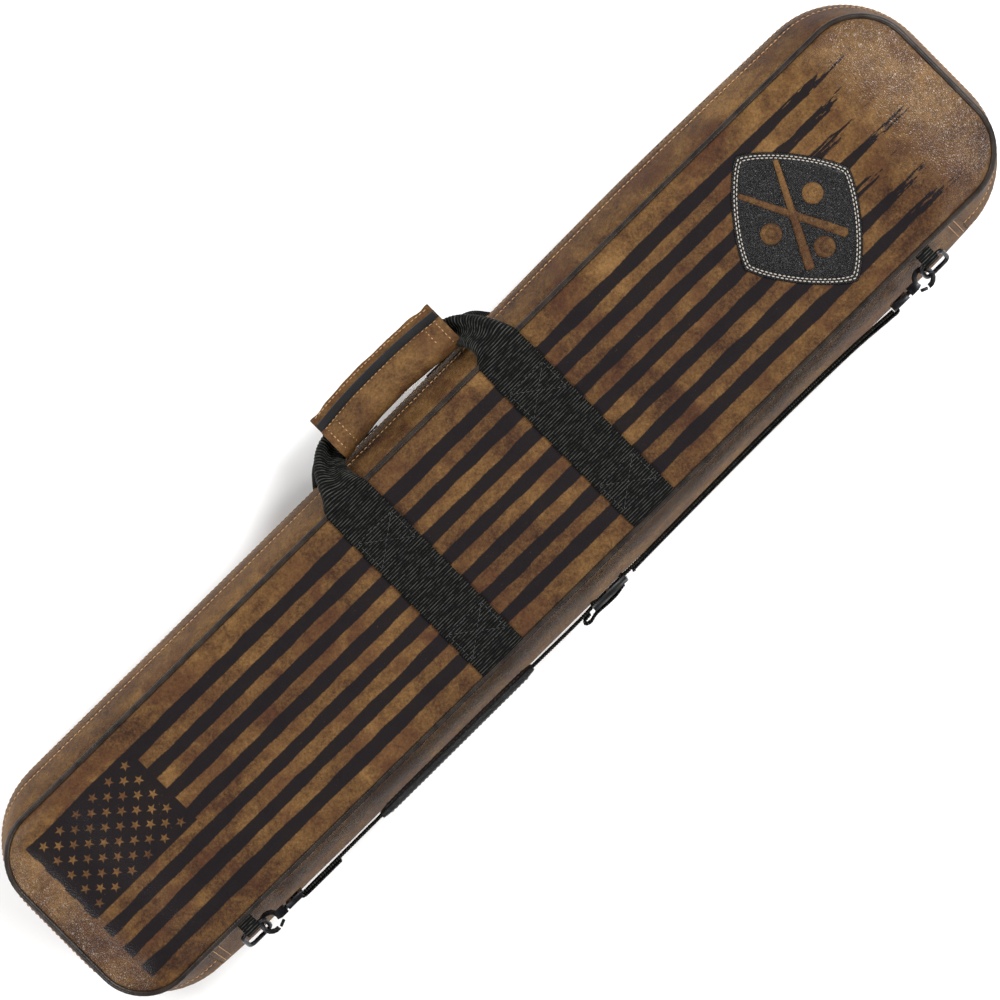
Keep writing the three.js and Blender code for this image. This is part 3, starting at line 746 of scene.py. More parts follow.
def web_strip(centres, across, width, seed, thickness=WEB_THICKNESS, gather=0.0, relief=0.26, columns=30):
    """A band of ribbed webbing along a path: its points, faces and places in the weave.

    across is the band's width direction, and gather says how far it is pleated and rolled up, from 0 to 1.
    Each is one value, or one for each stop of the path. relief is the height of the ribs."""
    centres = np.asarray(centres, dtype=float)
    lengths = run_lengths(centres)
    stops = np.linspace(0, lengths[-1], max(int(lengths[-1] / STOP_SPACING), 4) + 1)
    centre = along_path(stops, lengths, centres)
    along = unit(np.gradient(centre, axis=0))
    across = unit(along_path(stops, lengths, np.broadcast_to(across, centres.shape)))
    across = unit(across - (across * along).sum(1, keepdims=True) * along)
    up = unit(np.cross(across, along))
    gathered = np.interp(stops, lengths, np.broadcast_to(gather, len(centres)))[:, None]

    share = np.linspace(-1, 1, columns + 1)
    lean = gathered * (-CURL * share + FOLD * np.cos(FOLD_WAVES * share + 0.8 + 0.018 * stops[:, None]))
    step = width / columns
    side = np.cumsum(np.cos(lean), axis=1) * step
    lift = np.cumsum(np.sin(lean), axis=1) * step
    side -= side.mean(axis=1, keepdims=True)
    lift -= lift.mean(axis=1, keepdims=True)
    middle = centre[:, None] + across[:, None] * side[:, :, None] + up[:, None] * lift[:, :, None]
    out = unit(across[:, None] * -np.sin(lean)[:, :, None] + up[:, None] * np.cos(lean)[:, :, None])

    rng = random.Random(seed)
    lanes = np.array([rng.uniform(-0.5, 0.5) for _ in share])
    edge = np.clip((1 - np.abs(share)) * columns / 3, 0, 1)
    sway = 0.3 * np.sin(stops[:, None] * 0.21 + share * 10)
    phase = 2 * math.pi * stops[:, None] / WEB_RIB + lanes * 0.4 + sway
    ridge = relief * np.sin(phase) * edge * (0.75 + 0.5 * lanes)
    half = thickness / 2 * (0.55 + 0.45 * edge) - relief + ridge
    top = middle + out * half[:, :, None]
    bottom = middle - out * half[:, :, None]
    verts, faces = skin(np.concatenate((top, bottom[:, ::-1]), axis=1))
    weave = np.zeros((len(stops), 2 * len(share), 3))
    weave[:, :, 0] = np.concatenate((share, share[::-1])) * width / 2
    weave[:, :, 1] = stops[:, None] + seed * 40.0
    return verts, faces, weave.reshape(-1, 3)


def web_piece(name, webs, material, body=None, node=None):
    """A piece of webbing from one or more strips, whose material knows where each point lies in the weave."""
    piece = make_piece(name, merge([web[:2] for web in webs]), material, body, node, clean=False)
    weave = np.concatenate([web[2] for web in webs])
    layer = piece.data.attributes.new("weave", "FLOAT_VECTOR", "POINT")
    layer.data.foreach_set("vector", weave.astype(np.float32).ravel())
    return piece


# ---- the halves ----
SIDES = (("front", 1), ("rear", -1))
PANEL_EDGE = 47.6  # depth of a panel's edge beside the piping
PANEL_GRID = 6.0  # spacing of the points in a panel's middle
END_PUFF = 6.4  # how much fuller the printed panel is near its ends
END_PUFF_PLACE = 44.0  # how far in from the end it is fullest
END_PUFF_REACH = 31.0


def crown_profile(side):
    """Inset and depth pairs of a panel's padded face, from the piping to the flat of the crown."""
    top = CROWN_FRONT if side > 0 else MID_Z
    start = PIPING_RADIUS + 0.6
    reach = 26.0 if side > 0 else 15.0
    pairs = [(start, PANEL_EDGE - 3.0), (start, PANEL_EDGE - 1.2)]
    for t in np.linspace(0, 1, 12):
        rise = math.sin(t * math.pi / 2) ** 0.8
        pairs.append((start + reach * t * t, PANEL_EDGE + (top - PANEL_EDGE) * rise))
    pairs.append((start + reach + 5, top))
    return pairs


def fill_ring(ring):
    """Points and triangles over an even grid inside a ring that is nearly a rectangle."""
    low = ring.min(axis=0) + PANEL_GRID * 0.6
    high = ring.max(axis=0) - PANEL_GRID * 0.6
    columns, rows = ((high - low) / PANEL_GRID).astype(int) + 1
    grid = [(x, y) for x in np.linspace(low[0], high[0], columns) for y in np.linspace(low[1], high[1], rows)]
    points = [Vector(p) for p in [*map(tuple, ring), *grid]]
    edges = [(i, (i + 1) % len(ring)) for i in range(len(ring))]
    inside_only = 1
    filled = delaunay_2d_cdt(points, edges, [], inside_only, 1e-5)
    return np.array([tuple(p) for p in filled[0]]), [tuple(face) for face in filled[2]]


def panel_relief(side, flat, inset):
    """How far each point of a panel's face is lifted from its crown profile, towards +Z."""
    soft = 1 - (1 - np.clip((inset - 3) / 26, 0, 1)) ** 2
    lift = side * wander(flat, 9, 0.35, 5) * np.exp(-((inset - 5) / 4) ** 2)
    from_strap = np.minimum(np.abs(flat[:, 0] - STRAP_X), np.abs(flat[:, 0] + STRAP_X)) - WEB_WIDTH / 2
    if side < 0:
        under = np.clip(1 - from_strap / 3, 0, 1) * (WEB_THICKNESS + 0.2)
        return np.maximum(lift, under - flat[:, 2])
    from_end = SEAM_HALF_LENGTH - np.abs(flat[:, 0])
    lift += (wander(flat, 58, 0.42, 3) - 0.21) * soft
    lift += END_PUFF * np.exp(-((from_end - END_PUFF_PLACE) / END_PUFF_REACH) ** 2) * soft
    return lift - 0.5 * np.exp(-(np.maximum(from_strap, 0) / 7) ** 2) * soft


def panel(label, side, material, slot):
    """A padded vinyl face, crowned at its edge and drawn down slightly by the straps sewn across it."""
    profile = crown_profile(side)
    sections = np.array([seam_outline(side, depth, inset) for inset, depth in profile])
    middle, triangles = fill_ring(sections[-1][:, :2])
    inner = table(middle, sections[-1][0, 2])
    verts, faces = merge([skin(sections, caps=False), (inner, triangles)])
    insets = [pair[0] for pair in profile]
    inset = np.concatenate((np.repeat(insets, sections.shape[1]), np.full(len(inner), insets[-1])))
    verts[:, 2] += panel_relief(side, verts, inset)
    half_piece(label, "panel_skin", (verts, faces), material, "panel")


def piping(label, side, material):
    sections = [
        seam_outline(side, SEAM_DEPTH + PIPING_RADIUS * math.sin(a), 1 + PIPING_RADIUS * math.cos(a))
        for a in turns(12)
    ]
    half_piece(label, "piping_bead", skin(sections, loop=True), material, "piping")


ZIP_SEAM = 20.0  # depth of the seam between the gusset and the strip that carries the zip
WALL_TOP = 46.2  # depth of the wall's edge under the piping
# depth and extra inset of the gusset's outer face, with the step of the seam in it
GUSSET_PROFILE = (
    (ZIP_GAP, 0.9), (ZIP_GAP + 0.7, 0.1), (8, 0), (13, 0), (ZIP_SEAM - 2, 0.1), (ZIP_SEAM - 0.7, 0.35),
    (ZIP_SEAM, 1.1), (ZIP_SEAM + 0.7, 0.25), (ZIP_SEAM + 3, 0), (27, 0), (31, 0), (35, 0), (39, 0), (42, 0),
    (44.5, 0.15), (WALL_TOP, 0.9),
)


def gusset(label, side, material):
    """The wall round the handle side and the ends, open along the spine, with puckers beside its seams."""
    outer = np.array([shell_outline(side, depth, inset + 0.05) for depth, inset in GUSSET_PROFILE])
    inner = [shell_outline(side, depth, WALL) for depth in (WALL_TOP, 30, 15, 9, ZIP_GAP)]
    lengths = run_lengths(outer[0])
    for ring, (depth, _) in zip(outer, GUSSET_PROFILE):
        near_piping = math.exp(-((46 - depth) / 7) ** 2)
        near_seam = math.exp(-((depth - ZIP_SEAM) / 5) ** 2)
        near_zip = math.exp(-((depth - ZIP_GAP) / 5) ** 2)
        pucker = 0.35 * waves(lengths / 13, depth / 30, side * 4.0)
        swell = 0.45 * waves(lengths / 95, depth / 40, side * 9.0)
        push = pucker * (near_piping + 0.6 * near_seam + 0.5 * near_zip) + swell
        outward = table(ring[:, 0] / SEAM_HALF_LENGTH * 0.3, np.sign(ring[:, 1]), 0)
        ring -= outward * np.abs(push)[:, None] * 0.9
    half_piece(label, "gusset_skin", open_ring(outer, inner), material, "gusset")


def wall_stitches(label, side, depth, material, radius=0.42):
    """Topstitching round the gusset at a depth from the middle plane."""
    base = shell_outline(side, depth)
    out = shell_outline(side, depth, -1.0) - base
    slope = np.array((0, 0, side * SIDE_BULGE * 2 * depth / SEAM_DEPTH ** 2))
    order = round_wall(base)
    shape = stitches(base[order], unit(out[order]) + slope, pitch=4.0, radius=radius, sink=0.05)
    half_piece(label, f"topstitch_{int(depth)}", shape, material)


def spine_face(xs, depth):
    """The spine's outer face at a depth. Near its ends it meets the edge of the zip's gap."""
    level = abs(depth) / SEAM_DEPTH
    ends = np.clip(1 - (SPINE_EDGE - np.abs(xs)) / 30, 0, 1) ** 2
    softened = np.sqrt(level ** 2 + ends * (ZIP_GAP / SEAM_DEPTH) ** 2)
    return -(SEAM_HALF_WIDTH + SIDE_BULGE * (1 - np.minimum(softened, 1)))


def spine_stitches(label, side, material):
    """Two rows of topstitching down each end of the spine, on one half."""
    normal = (0, -1, side * SIDE_BULGE / SEAM_DEPTH)
    parts = []
    for x in (SPINE_EDGE - 3.5, SPINE_EDGE - 8.5):
        for end in (-x, x):
            path = [(end, float(spine_face(end, d)), MID_Z + side * d) for d in np.linspace(7, 44, 9)]
            parts.append(stitches(path, normal, pitch=3.8, radius=0.36, sink=-0.05))
    half_piece(label, "spine_stitches", merge(parts), material)


def spine(material):
    """One strip of vinyl from the front piping seam round the hinge line to the rear piping seam."""
    levels = [WALL_TOP, 44, 38, 30, 22, 14, 8, 4, 2, 1, 0.4]
    xs = np.linspace(-SPINE_EDGE, SPINE_EDGE, SIDE_STEPS + 1)
    outer = []
    inner = []
    for d in levels + [0.0] + [-d for d in reversed(levels)]:
        y = spine_face(xs, d)
        pull = 0.25 * math.exp(-((46 - abs(d)) / 6) ** 2)
        shape = y + 0.3 * np.abs(waves(xs / 60, d / 30, 2.0)) + pull * np.abs(waves(xs / 12, d / 30, 7.0))
        outer.append(table(xs, shape, MID_Z + d))
        inner.append(table(xs, y + WALL * 0.8, MID_Z + d * 0.995))
    sections = np.array(outer + inner[::-1]).transpose(1, 0, 2)
    piece = make_piece("spine_vinyl", skin(sections), material)
    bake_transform(piece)
    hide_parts("front_spine_leaf", "rear_spine_leaf")


COIL_PITCH = 1.9
# along each turn of the coil: its place across the zip and its girth
COIL_PROFILE = ((-1.2, 0.35), (-0.8, 0.6), (0.5, 0.6), (0.95, 0.35))


def zip_chain(label, side, tape, teeth):
    """Tape behind the gusset's edge, and the nylon coil along it as a row of turns."""
    levels = (0.5, 3.0, 9.0)
    outer = [shell_outline(side, d, WALL + 0.35) for d in levels]
    inner = [shell_outline(side, d, WALL + 1.0) for d in reversed(levels)]
    half_piece(label, "zip_tape_cloth", open_ring(outer, inner), tape, "zip_tape")
    base = shell_outline(side, 1.3, 2.0)
    line = base[round_wall(base)]
    lengths = run_lengths(line)
    parts = []
    for k in range(int(lengths[-1] / COIL_PITCH)):
        place = (k + 0.5) * COIL_PITCH
        centre = along_path(place, lengths, line)
        along = unit(along_path(place + 0.5, lengths, line) - centre)
        out = np.cross(along, (0, 0, 1.0))
        parts.append(skin([
            [centre + (0, 0, -side * t * 0.85) + girth * (math.cos(a) * along + 1.1 * math.sin(a) * out)
             for a in turns(6)]
            for t, girth in COIL_PROFILE
        ]))
    half_piece(label, "zip_coil_turns", merge(parts), teeth, "zip_coil")


# ---- straps and handles ----
STRAPS = (("left", -1), ("right", 1))
# y of the stops of each strap's sewn part
FRONT_SEWN = (-77.0, -75.5, -73, -69, -62, -50, -20, 20, 50, 58)
REAR_SEWN = (-75, -50, 0, 50, 74)
# The stops of a free leg: how far it has moved towards the grip, y, z, direction across, and gather.
# The front legs' z is measured from the end of the sewn part, and the rear legs' direction has no y.
FRONT_LEG = (
    (0, 70, 0.5, 1, 0, 0, 0.08),
    (0, 79, 0.3, 1, 0, 0, 0.22),
    (1, 88, -2.6, 1, 0.05, 0.1, 0.5),
    (4, 96, -9, 0.9, 0.45, 0.1, 0.75),
    (9, 103, -17, 0.6, 0.8, 0, 0.92),
    (15, 107, -23, 0.2, 1, 0, 1),
    (23, 108.5, -25.2, 0, 1, 0, 1),
    (45, 111, -25.4, 0, 1, 0, 1),
    (74, 112, -25.4, 0, 1, 0, 1),
)
REAR_LEG = (
    (0, 80.5, WEB_THICKNESS / 2 + 0.4, -1, 0, 0),
    (0, 84.5, 5.5, -1, 0, 0.05),
    (0, 90, 18, -1, 0, 0.25),
    (2, 97, 31, -1, 0, 0.5),
    (6, 103.5, 44, -0.95, -0.3, 0.75),
    (13, 108.5, 54, -0.6, -0.8, 0.9),
    (21, 111, 59, -0.2, -1, 1),
    (30, 112, 60, 0, -1, 1),
    (74, 112, 60, 0, -1, 1),
)


def front_face_height(y):
    """The panel's face over a strap, from its crown profile."""
    insets, depths = np.array(crown_profile(1)[2:]).T
    return MID_Z + float(np.interp(SEAM_HALF_WIDTH - abs(y), insets, depths))


def strap(label, name, rows, seed, material):
    """A strap's webbing, which bends where it leaves its half.

    Its rows hold place, direction across and gather."""
    rows = smooth_path(rows)
    web = web_strip(rows[:, :3], rows[:, 3:6], WEB_WIDTH, gather=rows[:, 6], seed=seed)
    piece = web_piece(f"{label}_webbing_{name}", [web], material)
    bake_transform(piece)
    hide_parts(f"{label}_strap_{name}", f"{label}_handle_webbing")


def strap_stitches(label, name, places, material, normal, radius):
    parts = [box_stitch(place, (32, 24), normal, pitch=3.4, radius=radius, sink=0.05) for place in places]
    half_piece(label, f"strap_stitches_{name}", merge(parts), material)


def handle_straps(material, thread_material):
    """Each front strap runs up the panel, leaves it at a box stitch, and curls into the grip."""
    lift = 0.75  # of the webbing's middle over the panel
    for name, sign in STRAPS:
        x = sign * STRAP_X
        rows = [(x, y, front_face_height(y) + lift, 1, 0, 0, 0) for y in FRONT_SEWN]
        top = rows[-1][2]
        rows += [
            (x - sign * towards, y, top + z, across_x, sign * across_y, across_z, gather)
            for towards, y, z, across_x, across_y, across_z, gather in FRONT_LEG
        ]
        strap("front", name, rows, 11 + sign, material)
        z = front_face_height(40) + WEB_THICKNESS - 0.1
        strap_stitches("front", name, [(x, 38, z), (x, -50, z)], thread_material, (0, 0, 1), 0.26)


def rear_straps(material, thread_material):
    """Each rear strap runs under the case and up its side to the plain rear loop."""
    for name, sign in STRAPS:
        x = sign * STRAP_X
        rows = [(x, y, WEB_THICKNESS / 2, -1, 0, 0, 0) for y in REAR_SEWN]
        rows += [
            (x - sign * towards, y, z, across_x, 0, sign * across_z, gather)
            for towards, y, z, across_x, across_z, gather in REAR_LEG
        ]
        strap("rear", name, rows, 21 + sign, material)
        strap_stitches("rear", name, [(x, 48, 0.15), (x, -50, 0.15)], thread_material, (0, 0, -1), 0.24)


# ---- grip ----
GRIP_Y = GRIP_LOW[1] + 12
GRIP_Z = (GRIP_LOW[2] + GRIP_HIGH[2]) / 2
GRIP_START, GRIP_END = GRIP_LOW[0], GRIP_HIGH[0]
# outlines of the hook and loop strips, outwards and upwards from the grip's axis
OUTER_TAPE = (
    (10.0, -5.4), (10.2, -3.4), (13.0, -2.7), (15.5, -2.1), (17.3, -1.9), (17.8, -2.6), (17.5, -3.6),
)
INNER_TAPE = ((8.6, -5.6), (8.8, -4.4), (9.8, -4.1), (9.9, -5.2))


def grip_section(x, out, up, sag):
    """Points at offsets from the grip's axis. Its ends droop towards the case, against its middle."""
    middle = (GRIP_START + GRIP_END) / 2
    droop = 5.5 * ((x - middle) / (GRIP_END - middle)) ** 2
    return table(x, GRIP_Y + out - droop * sag, GRIP_Z + up)


def grip_wrap(material):
    """The vinyl wrap closed round the front loop: a teardrop whose lower flap carries the loop strip."""
    angles = np.radians(np.linspace(-5, 318, 44))
    tail = [(12.5, -5.2), (16, -4.1), (20, -3.0), (23.2, -2.2)]
    line = np.concatenate((10.9 * table(np.cos(angles), np.sin(angles)), tail))
    tangent = unit(np.gradient(line, axis=0))
    thick = np.full((len(line), 1), 1.05)
    thick[0] = thick[-1] = 0.5
    aside = table(tangent[:, 1], -tangent[:, 0]) * thick
    out, up = np.concatenate((line + aside, (line - aside)[::-1])).T
    sections = []
    for x in (GRIP_START, GRIP_START + 0.4, GRIP_START + 1.2, *np.linspace(GRIP_START + 3, GRIP_END - 3, 60),
              GRIP_END - 1.2, GRIP_END - 0.4, GRIP_END):
        end = min(x - GRIP_START, GRIP_END - x)
        shrink = 1 - 0.03 * math.exp(-end / 0.6)
        pinch = 1 - 0.045 * math.exp(-((end - 8) / 5) ** 2)
        scale = shrink * pinch + 0.05 * waves(x / 16, (GRIP_Y + out) / 14, (GRIP_Z + up) / 14)
        low_side = np.clip((12 - out) / 24, 0, 1)
        sections.append(grip_section(x, out * scale, up * scale, 0.55 + 0.45 * low_side))
    make_piece("grip_wrap_skin", skin(sections), material, "front_handle", "grip_wrap")


def grip_stitches(material):
    """Two seams round each end of the wrap, and one along each edge of its flap."""
    parts = []
    angles = np.radians(np.linspace(8, 200, 30))
    around = table(0, np.cos(angles), np.sin(angles))
    for x in (GRIP_START + 5, GRIP_START + 14, GRIP_END - 14, GRIP_END - 5):
        path = grip_section(x, 12 * around[:, 1], 12 * around[:, 2], 0.75)
        parts.append(stitches(path, around, pitch=3.6, radius=0.36, sink=0.25))
    for out, up, lean in ((21.5, -1.4, (0, -0.25, 1)), (11.4, 3.6, (0, 0.95, 0.3))):
        path = grip_section(np.linspace(GRIP_START + 3, GRIP_END - 3, 20), out, up, 0.6)
        parts.append(stitches(path, lean, pitch=3.6, radius=0.36, sink=0.1))
    make_piece("grip_stitches", merge(parts), material, "front_handle")


def grip_inside(foam, strip):
    """The foam round the loop, and the hook and loop strips that close the wrap."""
    out, up = 8.8 * np.cos(turns(24)), 8.8 * np.sin(turns(24))
    rows = [grip_section(x, out, up, 0.78) for x in np.linspace(GRIP_START + 0.8, GRIP_END - 0.8, 40)]
    pad = make_piece("grip_foam", skin(rows), foam, "front_handle", "grip_pad")
    for name, profile, node in (
        ("grip_loop_tape", OUTER_TAPE, "grip_loop_strip"),
        ("grip_hook_tape", INNER_TAPE, "grip_hook_strip"),
    ):
        out, up = np.array(profile).T
        rows = []
        for x in np.linspace(GRIP_START + 1, GRIP_END - 1, 160):
            fuzz = 0.25 * noise.noise(Vector((x / 1.3, 3.0, 0.0)))
            rows.append(grip_section(x, out, up + fuzz, 0.6))
        make_piece(name, skin(rows), strip, "front_handle", node)


# ---- CAD nodes that stay ----
def dress(node, material, bevel=0.0, segments=2):
    """Gives a CAD node its material, with its sharp edges rounded by modifiers."""
    piece = frame["nodes"][node]
    piece.data.materials.clear()
    piece.data.materials.append(material)
    weld = piece.modifiers.new("weld", "WELD")
    weld.merge_threshold = 1e-6
    if bevel:
        edge = piece.modifiers.new("bevel", "BEVEL")
        edge.width = bevel * MM
        edge.segments = segments
        edge.limit_method = "ANGLE"
        edge.angle_limit = math.radians(35)
        edge.harden_normals = True
    for polygon in piece.data.polygons:
        polygon.use_smooth = True


# ---- emblem ----
EMBLEM_CENTRE = (EMBLEM_LOW + EMBLEM_HIGH) / 2
EMBLEM_BASE = CROWN_FRONT + MID_Z
# share of the outline and height of the leather, with a pressed groove inside its rim
EMBLEM_PROFILE = (
    (1.0, -0.4), (1.0, 0.55), (0.985, 0.95), (0.965, 1.05), (0.93, 0.85), (0.915, 0.55), (0.90, 0.8),
    (0.87, 1.2), (0.82, 1.45), (0.7, 1.6), (0.5, 1.65), (0.25, 1.65), (0.02, 1.65),
)
BALL_RADIUS = 7.6
BALL_PROFILE = (
    (1.0, -0.6), (1.0, 0.2), (0.97, 0.7), (0.88, 1.25), (0.72, 1.7), (0.54, 1.95), (0.5, 1.55), (0.44, 1.5),
    (0.4, 1.95), (0.2, 2.1), (0.02, 2.12),
)


def bowed(values, power):
    """Values of -1 to 1 raised to a power, with their signs kept."""
    return np.sign(values) * np.abs(values) ** power


def lozenge(share, lift):
    """The emblem's outline at a share of its size, at a height over the panel."""
    x, y, _ = EMBLEM_CENTRE
    half_x, half_y, _ = (EMBLEM_HIGH - EMBLEM_LOW) / 2 * share
    angles = turns(120)
    return table(x + half_x * bowed(np.cos(angles), 1.6), y + half_y * bowed(np.sin(angles), 1.6),
                 EMBLEM_BASE + lift)


def emblem_cue(lean):
    """A tapered cue in low relief, with rings at its joint and above its butt."""
    direction = unit(np.array((lean * 0.5, 1.0, 0.0)))
    across = np.array((direction[1], -direction[0], 0))
    upward = np.array((0, 0, 0.42))
    height = EMBLEM_BASE + (2.05 if lean > 0 else 1.55)
    rows = []
    for t in np.linspace(-1, 1, 90):
        girth = 3.4 - 1.5 * (t + 1) / 2
        ring = 0.7 * (math.exp(-((t + 0.05) / 0.018) ** 2) + math.exp(-((t + 0.62) / 0.018) ** 2))
        end = math.sqrt(max(1 - max(abs(t) - 0.97, 0) ** 2 / 0.03 ** 2, 0.02))
        middle = np.array((EMBLEM_CENTRE[0], EMBLEM_CENTRE[1] + 4, height)) + direction * 40 * t
        rows.append([
            middle + (girth + ring) * end * (math.cos(a) * across + math.sin(a) * upward)
            for a in turns(12)
        ])
    return skin(rows)


def emblem_ball(dx, dy):
    """A ball in low relief, with a groove round a disc in its middle."""
    angles = turns(36)
    return skin([
        table(EMBLEM_CENTRE[0] + dx + BALL_RADIUS * share * np.cos(angles),
              EMBLEM_CENTRE[1] + dy + BALL_RADIUS * share * np.sin(angles), EMBLEM_BASE + 1.3 + lift)
        for share, lift in BALL_PROFILE
    ])


def emblem(leather, thread_material, vinyl):
    """A stitched lozenge with two crossed cues and three balls, raised in brown vinyl."""
    make_piece("emblem_leather", skin([lozenge(share, lift) for share, lift in EMBLEM_PROFILE]), leather,
               "front_half", "emblem_patch")
    seams = [
        stitches(lozenge(share, lift), (0, 0, 1), pitch=3.1, gap=0.8, radius=0.42, sink=0.0, closed=True)
        for share, lift in ((0.915, 0.75), (0.955, 1.05))
    ]
    make_piece("emblem_stitches", merge(seams), thread_material, "front_half")
    parts = [emblem_cue(-1), emblem_cue(1)]
    parts += [emblem_ball(dx, dy) for dx, dy in ((-20, 5), (20, 5), (0, -27))]
    make_piece("emblem_cues", merge(parts), vinyl, "front_half")


# ---- sling ----
def sling_bands(material):
    """The sling's long band and its turn at the left eye, then its turn at the right and its folded tail."""
    plane = -95.5
    z = (SLING_LOW[2] + SLING_HIGH[2]) / 2
    left, right = SLING_LOW[0], SLING_HIGH[0]
    buckle_low, buckle_high = node_box("sling_adjuster")
    low, high = buckle_low[0] + 1.5, buckle_high[0] - 1.5
    middle = (low + high) / 2
    eye = 3.3
    runs = (
        [(left, 0), (-120, 0.6), (-16, 0), (low, 2.1), (middle, -3.1), (high, 2.1), (high + 11, 1),
         (160, 2.8), (240, 2.2), (right, 0)],
        [(left + 34, -2.1), (left + 4, -2.1), (left - eye * 0.4, -1.6), (left - eye, 0),
         (left - eye * 0.3, 0.3)],
        [(high + 9, -1.6), (high + 20, -0.6), (160, 0.9), (240, 0.3), (right - 8, -2),
         (right + eye * 0.4, -2.6), (right + eye, -0.6), (right + eye * 0.3, 0.3)],
        [(high - 3, -3.6), (middle, -5.2), (low - 2, -4.6), (low - 9, -6.0), (low - 13, -4.6),
         (low - 12, -2.6), (low - 6, -1.8)],
    )
    webs = []
    for seed, run in enumerate(runs, start=31):
        path = smooth_path([(x, plane + out, z) for x, out in run])
        webs.append(web_strip(path, (0, 0, 1), SLING_HIGH[2] - SLING_LOW[2], seed=seed, relief=0.16))
    web_piece("sling_web", webs[:2], material, "sling", "sling_webbing")
    web_piece("sling_web_return", webs[2:], material, "sling", "sling_return")


def sling_pad(leather, thread_material):
    """The shoulder pad: a soft block, thinner at its ends, with a seam along each edge of both faces."""
    low, high = node_box("sling_pad")
    _, y, z = (low + high) / 2
    _, half_y, half_z = (high - low) / 2
    across, up = bowed(np.cos(turns(40)), 0.55), bowed(np.sin(turns(40)), 0.5)
    rows = []
    for x in low[0] + (high[0] - low[0]) * np.linspace(0, 1, 70):
        end = min(x - low[0], high[0] - x)
        fat = 0.62 + 0.38 * (1 - math.exp(-end / 5))
        tall = 1 - 0.1 * math.exp(-end / 4)
        rows.append(table(x, y + half_y * fat * across, z + half_z * tall * up))
    pad = make_piece("sling_pad_cover", skin(rows), leather, "sling", "sling_pad")
    parts = []
    for face in (-1, 1):
        for dz in (-half_z + 3.2, half_z - 3.2):
            path = [(x, y + face * half_y * 0.86, z + dz) for x in (low[0] + 6, high[0] - 6)]
            parts.append(stitches(path, (0, face, 0), pitch=3.6, radius=0.3, sink=0.0))
    make_piece("sling_pad_stitches", merge(parts), thread_material, "sling")


def ring_tabs(material):
    """Short loops of webbing that hold the rings, sewn into the seam beside the piping."""
    _, y, z = pivot("sling_swing")
    for side, sign in STRAPS:
        low, high = node_box(f"{side}_ring_tab")
        angles = np.radians(np.linspace(70, 290, 12))
        turn = table(y + 2.9 * np.cos(angles), z + 2.9 * np.sin(angles))
        path = [(-78.6, z + 1.3), (-82, z + 1.9), *turn, (-82.5, z - 1.0), (-79.4, z + 0.1)]
        rows = smooth_path(table((low[0] + high[0]) / 2, np.array(path)), per_span=4)
        web = web_strip(rows, (1, 0, 0), high[0] - low[0], thickness=1.3,
                        relief=0.14, seed=41 + sign, columns=10)
        web_piece(f"{side}_tab_loop", [web], material, "front_half", f"{side}_ring_tab")


# ---- inside ----
def retainer_band(label, side, number, elastic, thread_material):
    """Ribbed elastic across the channels, slack enough to stand off them a little, sewn down at its ends."""
    node = f"{label}_retainer_band_{number}"
    low, high = node_box(node)
    x, _, z = (low + high) / 2
    slack = 0.7 * np.sin(np.linspace(0, math.pi, 60)) ** 0.5
    rows = table(x, np.linspace(low[1], high[1], 60), z - side * slack)
    web = web_strip(rows, (1, 0, 0), high[0] - low[0], thickness=high[2] - low[2],
                    relief=0.14, seed=51 + number, columns=20)
    web_piece(f"{label}_elastic_{number}", [web], elastic, f"{label}_half", node)
    parts = [
        box_stitch((x, y, z - side * 0.75), (high[0] - low[0] - 5, 5), (0, 0, -side), cross=False, pitch=2.6,
                   radius=0.24)
        for y in (low[1] + 4, high[1] - 4)
    ]
    half_piece(label, f"elastic_stitches_{number}", merge(parts), thread_material)


# ---- stage ----
LIGHTS = (  # name, place, size and power, in metres and watts
    ("key", (-1.4, 2.6, 1.7), 1.6, 74),
    ("left_side", (-2.7, -0.6, 2.3), 1.4, 66),
    ("right_side", (2.7, 0.5, 2.3), 1.4, 70),
    ("fill", (0.9, -2.7, 1.8), 1.6, 62),
    ("right_end", (1.75, 0.25, 2.8), 0.9, 78),
    ("left_end", (-2.2, -0.4, 2.7), 0.6, 13),
)


def stage():
    """A pale floor, an even pale surround and soft lights that face the middle of the case."""
    bpy.ops.mesh.primitive_plane_add(size=40, location=(0, 0, -0.0005))
    floor = bpy.context.object
    floor.name = "floor"
    paint = Paint("floor", roughness=0.9)
    grey, pale = (0.88, 0.88, 0.88, 1), (0.93, 0.93, 0.93, 1)
    paint.set(base_color=paint.ramp(paint.noise(400), (0.3, grey), (0.7, pale)))
    floor.data.materials.append(paint.material)
    world = bpy.data.worlds.new("studio")
    world.use_nodes = True
    world.node_tree.nodes["Background"].inputs[0].default_value = (1, 1, 1, 1)
    world.node_tree.nodes["Background"].inputs[1].default_value = 0.2
    bpy.context.scene.world = world
    bpy.context.scene.view_settings.view_transform = "Standard"
    for name, place, size, power in LIGHTS:
        light = bpy.data.lights.new(name, "AREA")
        light.size = size
        light.energy = power
        lamp = bpy.data.objects.new(name, light)
        lamp.location = place
        lamp.rotation_euler = Vector(place).to_track_quat("Z", "Y").to_euler()
        bpy.context.scene.collection.objects.link(lamp)


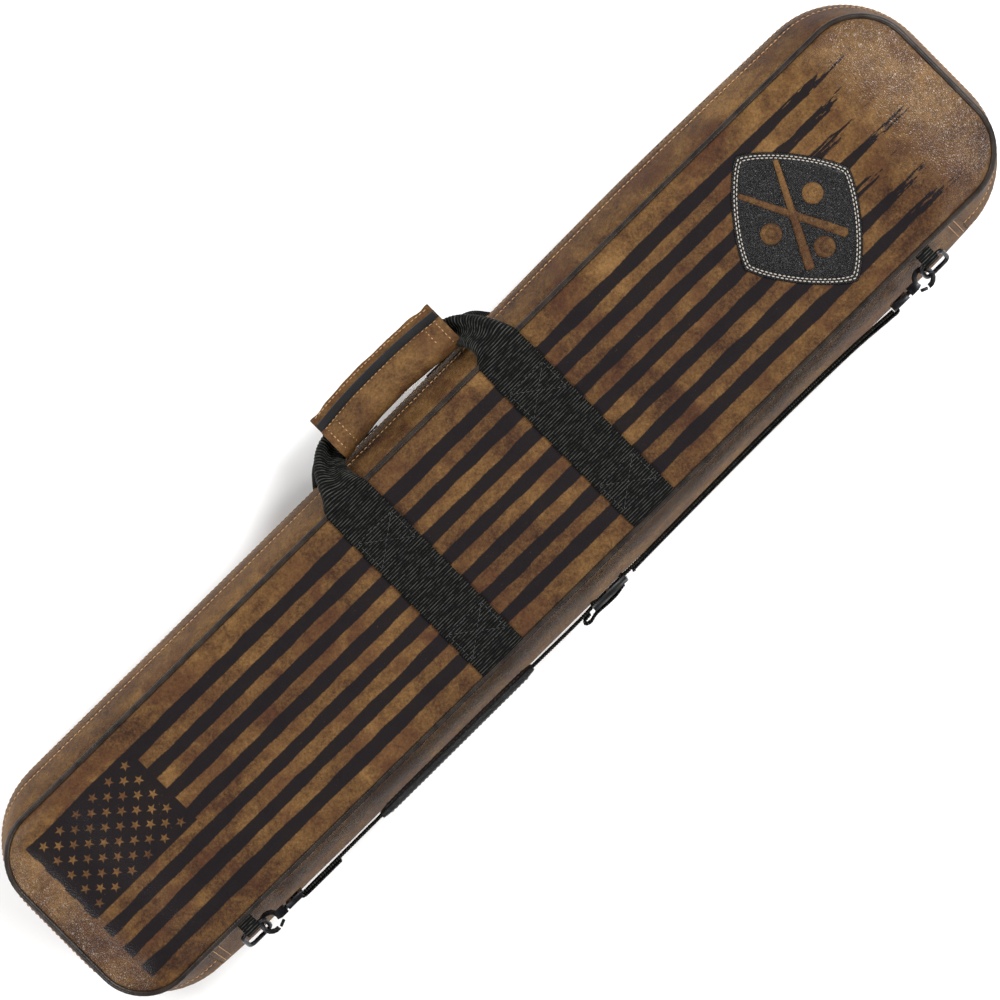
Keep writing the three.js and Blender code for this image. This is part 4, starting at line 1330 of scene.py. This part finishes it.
def main():
    make_camera()
    vinyl = brown_vinyl()
    webbing = black_webbing()
    patch = smooth_leather("emblem_leather", srgb(10, 9, 10), srgb(20, 18, 19), 0.34)
    pad_cover = smooth_leather("pad_leather", srgb(12, 12, 13), srgb(24, 24, 25), 0.42)
    tan_thread = thread("tan_thread", srgb(128, 92, 58), srgb(176, 138, 96))
    grey_thread = thread("grey_thread", srgb(118, 112, 104), srgb(186, 180, 170))
    black_thread = thread("black_thread", srgb(16, 16, 17), srgb(44, 44, 46))
    metal = black_metal()
    lining = pile("lining", srgb(30, 30, 33), srgb(70, 69, 73), size=0.9, depth=0.35)
    foam = pile("flocked_foam", srgb(22, 22, 24), srgb(60, 60, 65), size=0.6, depth=0.4)
    loops = pile("hook_and_loop", srgb(8, 8, 9), srgb(38, 38, 40), size=0.5, depth=0.8)
    bead = piping_vinyl()
    tape = woven("zip_tape", srgb(12, 12, 13), srgb(34, 34, 36), 1.2)
    coil = black_plastic("zip_coil")
    board = fibre_board()

    faces = {"front": (printed_vinyl(), "printed_vinyl"), "rear": (vinyl, "brown_vinyl")}
    for label, side in SIDES:
        panel(label, side, *faces[label])
        piping(label, side, bead)
        gusset(label, side, vinyl)
        wall_stitches(label, side, ZIP_SEAM + 3.0, tan_thread)
        wall_stitches(label, side, ZIP_GAP + 3.5, tan_thread, radius=0.2)
        spine_stitches(label, side, tan_thread)
        zip_chain(label, side, tape, coil)
    spine(vinyl)
    handle_straps(webbing, black_thread)
    rear_straps(webbing, black_thread)
    grip_wrap(vinyl)
    grip_stitches(tan_thread)
    grip_inside(foam, loops)
    emblem(patch, grey_thread, vinyl)
    ring_tabs(webbing)
    sling_bands(webbing)
    sling_pad(pad_cover, black_thread)
    for label, side in SIDES:
        dress(f"{label}_liner", lining, bevel=0.5)
        dress(f"{label}_cue_cradle", foam, bevel=1.0, segments=3)
        dress(f"{label}_core_board", board, bevel=0.4)
        for number in (1, 2):
            retainer_band(label, side, number, webbing, grey_thread)
    dress("sling_adjuster", black_plastic("black_plastic"), bevel=0.6)
    for side, _ in STRAPS:
        dress(f"{side}_ring", metal)
        for node in ("hook", "hook_gate", "swivel_eye", "zip_slider"):
            dress(f"{side}_{node}", metal, bevel=0.5)
        dress(f"{side}_zip_pull", metal, bevel=0.4)
    stage()


main()
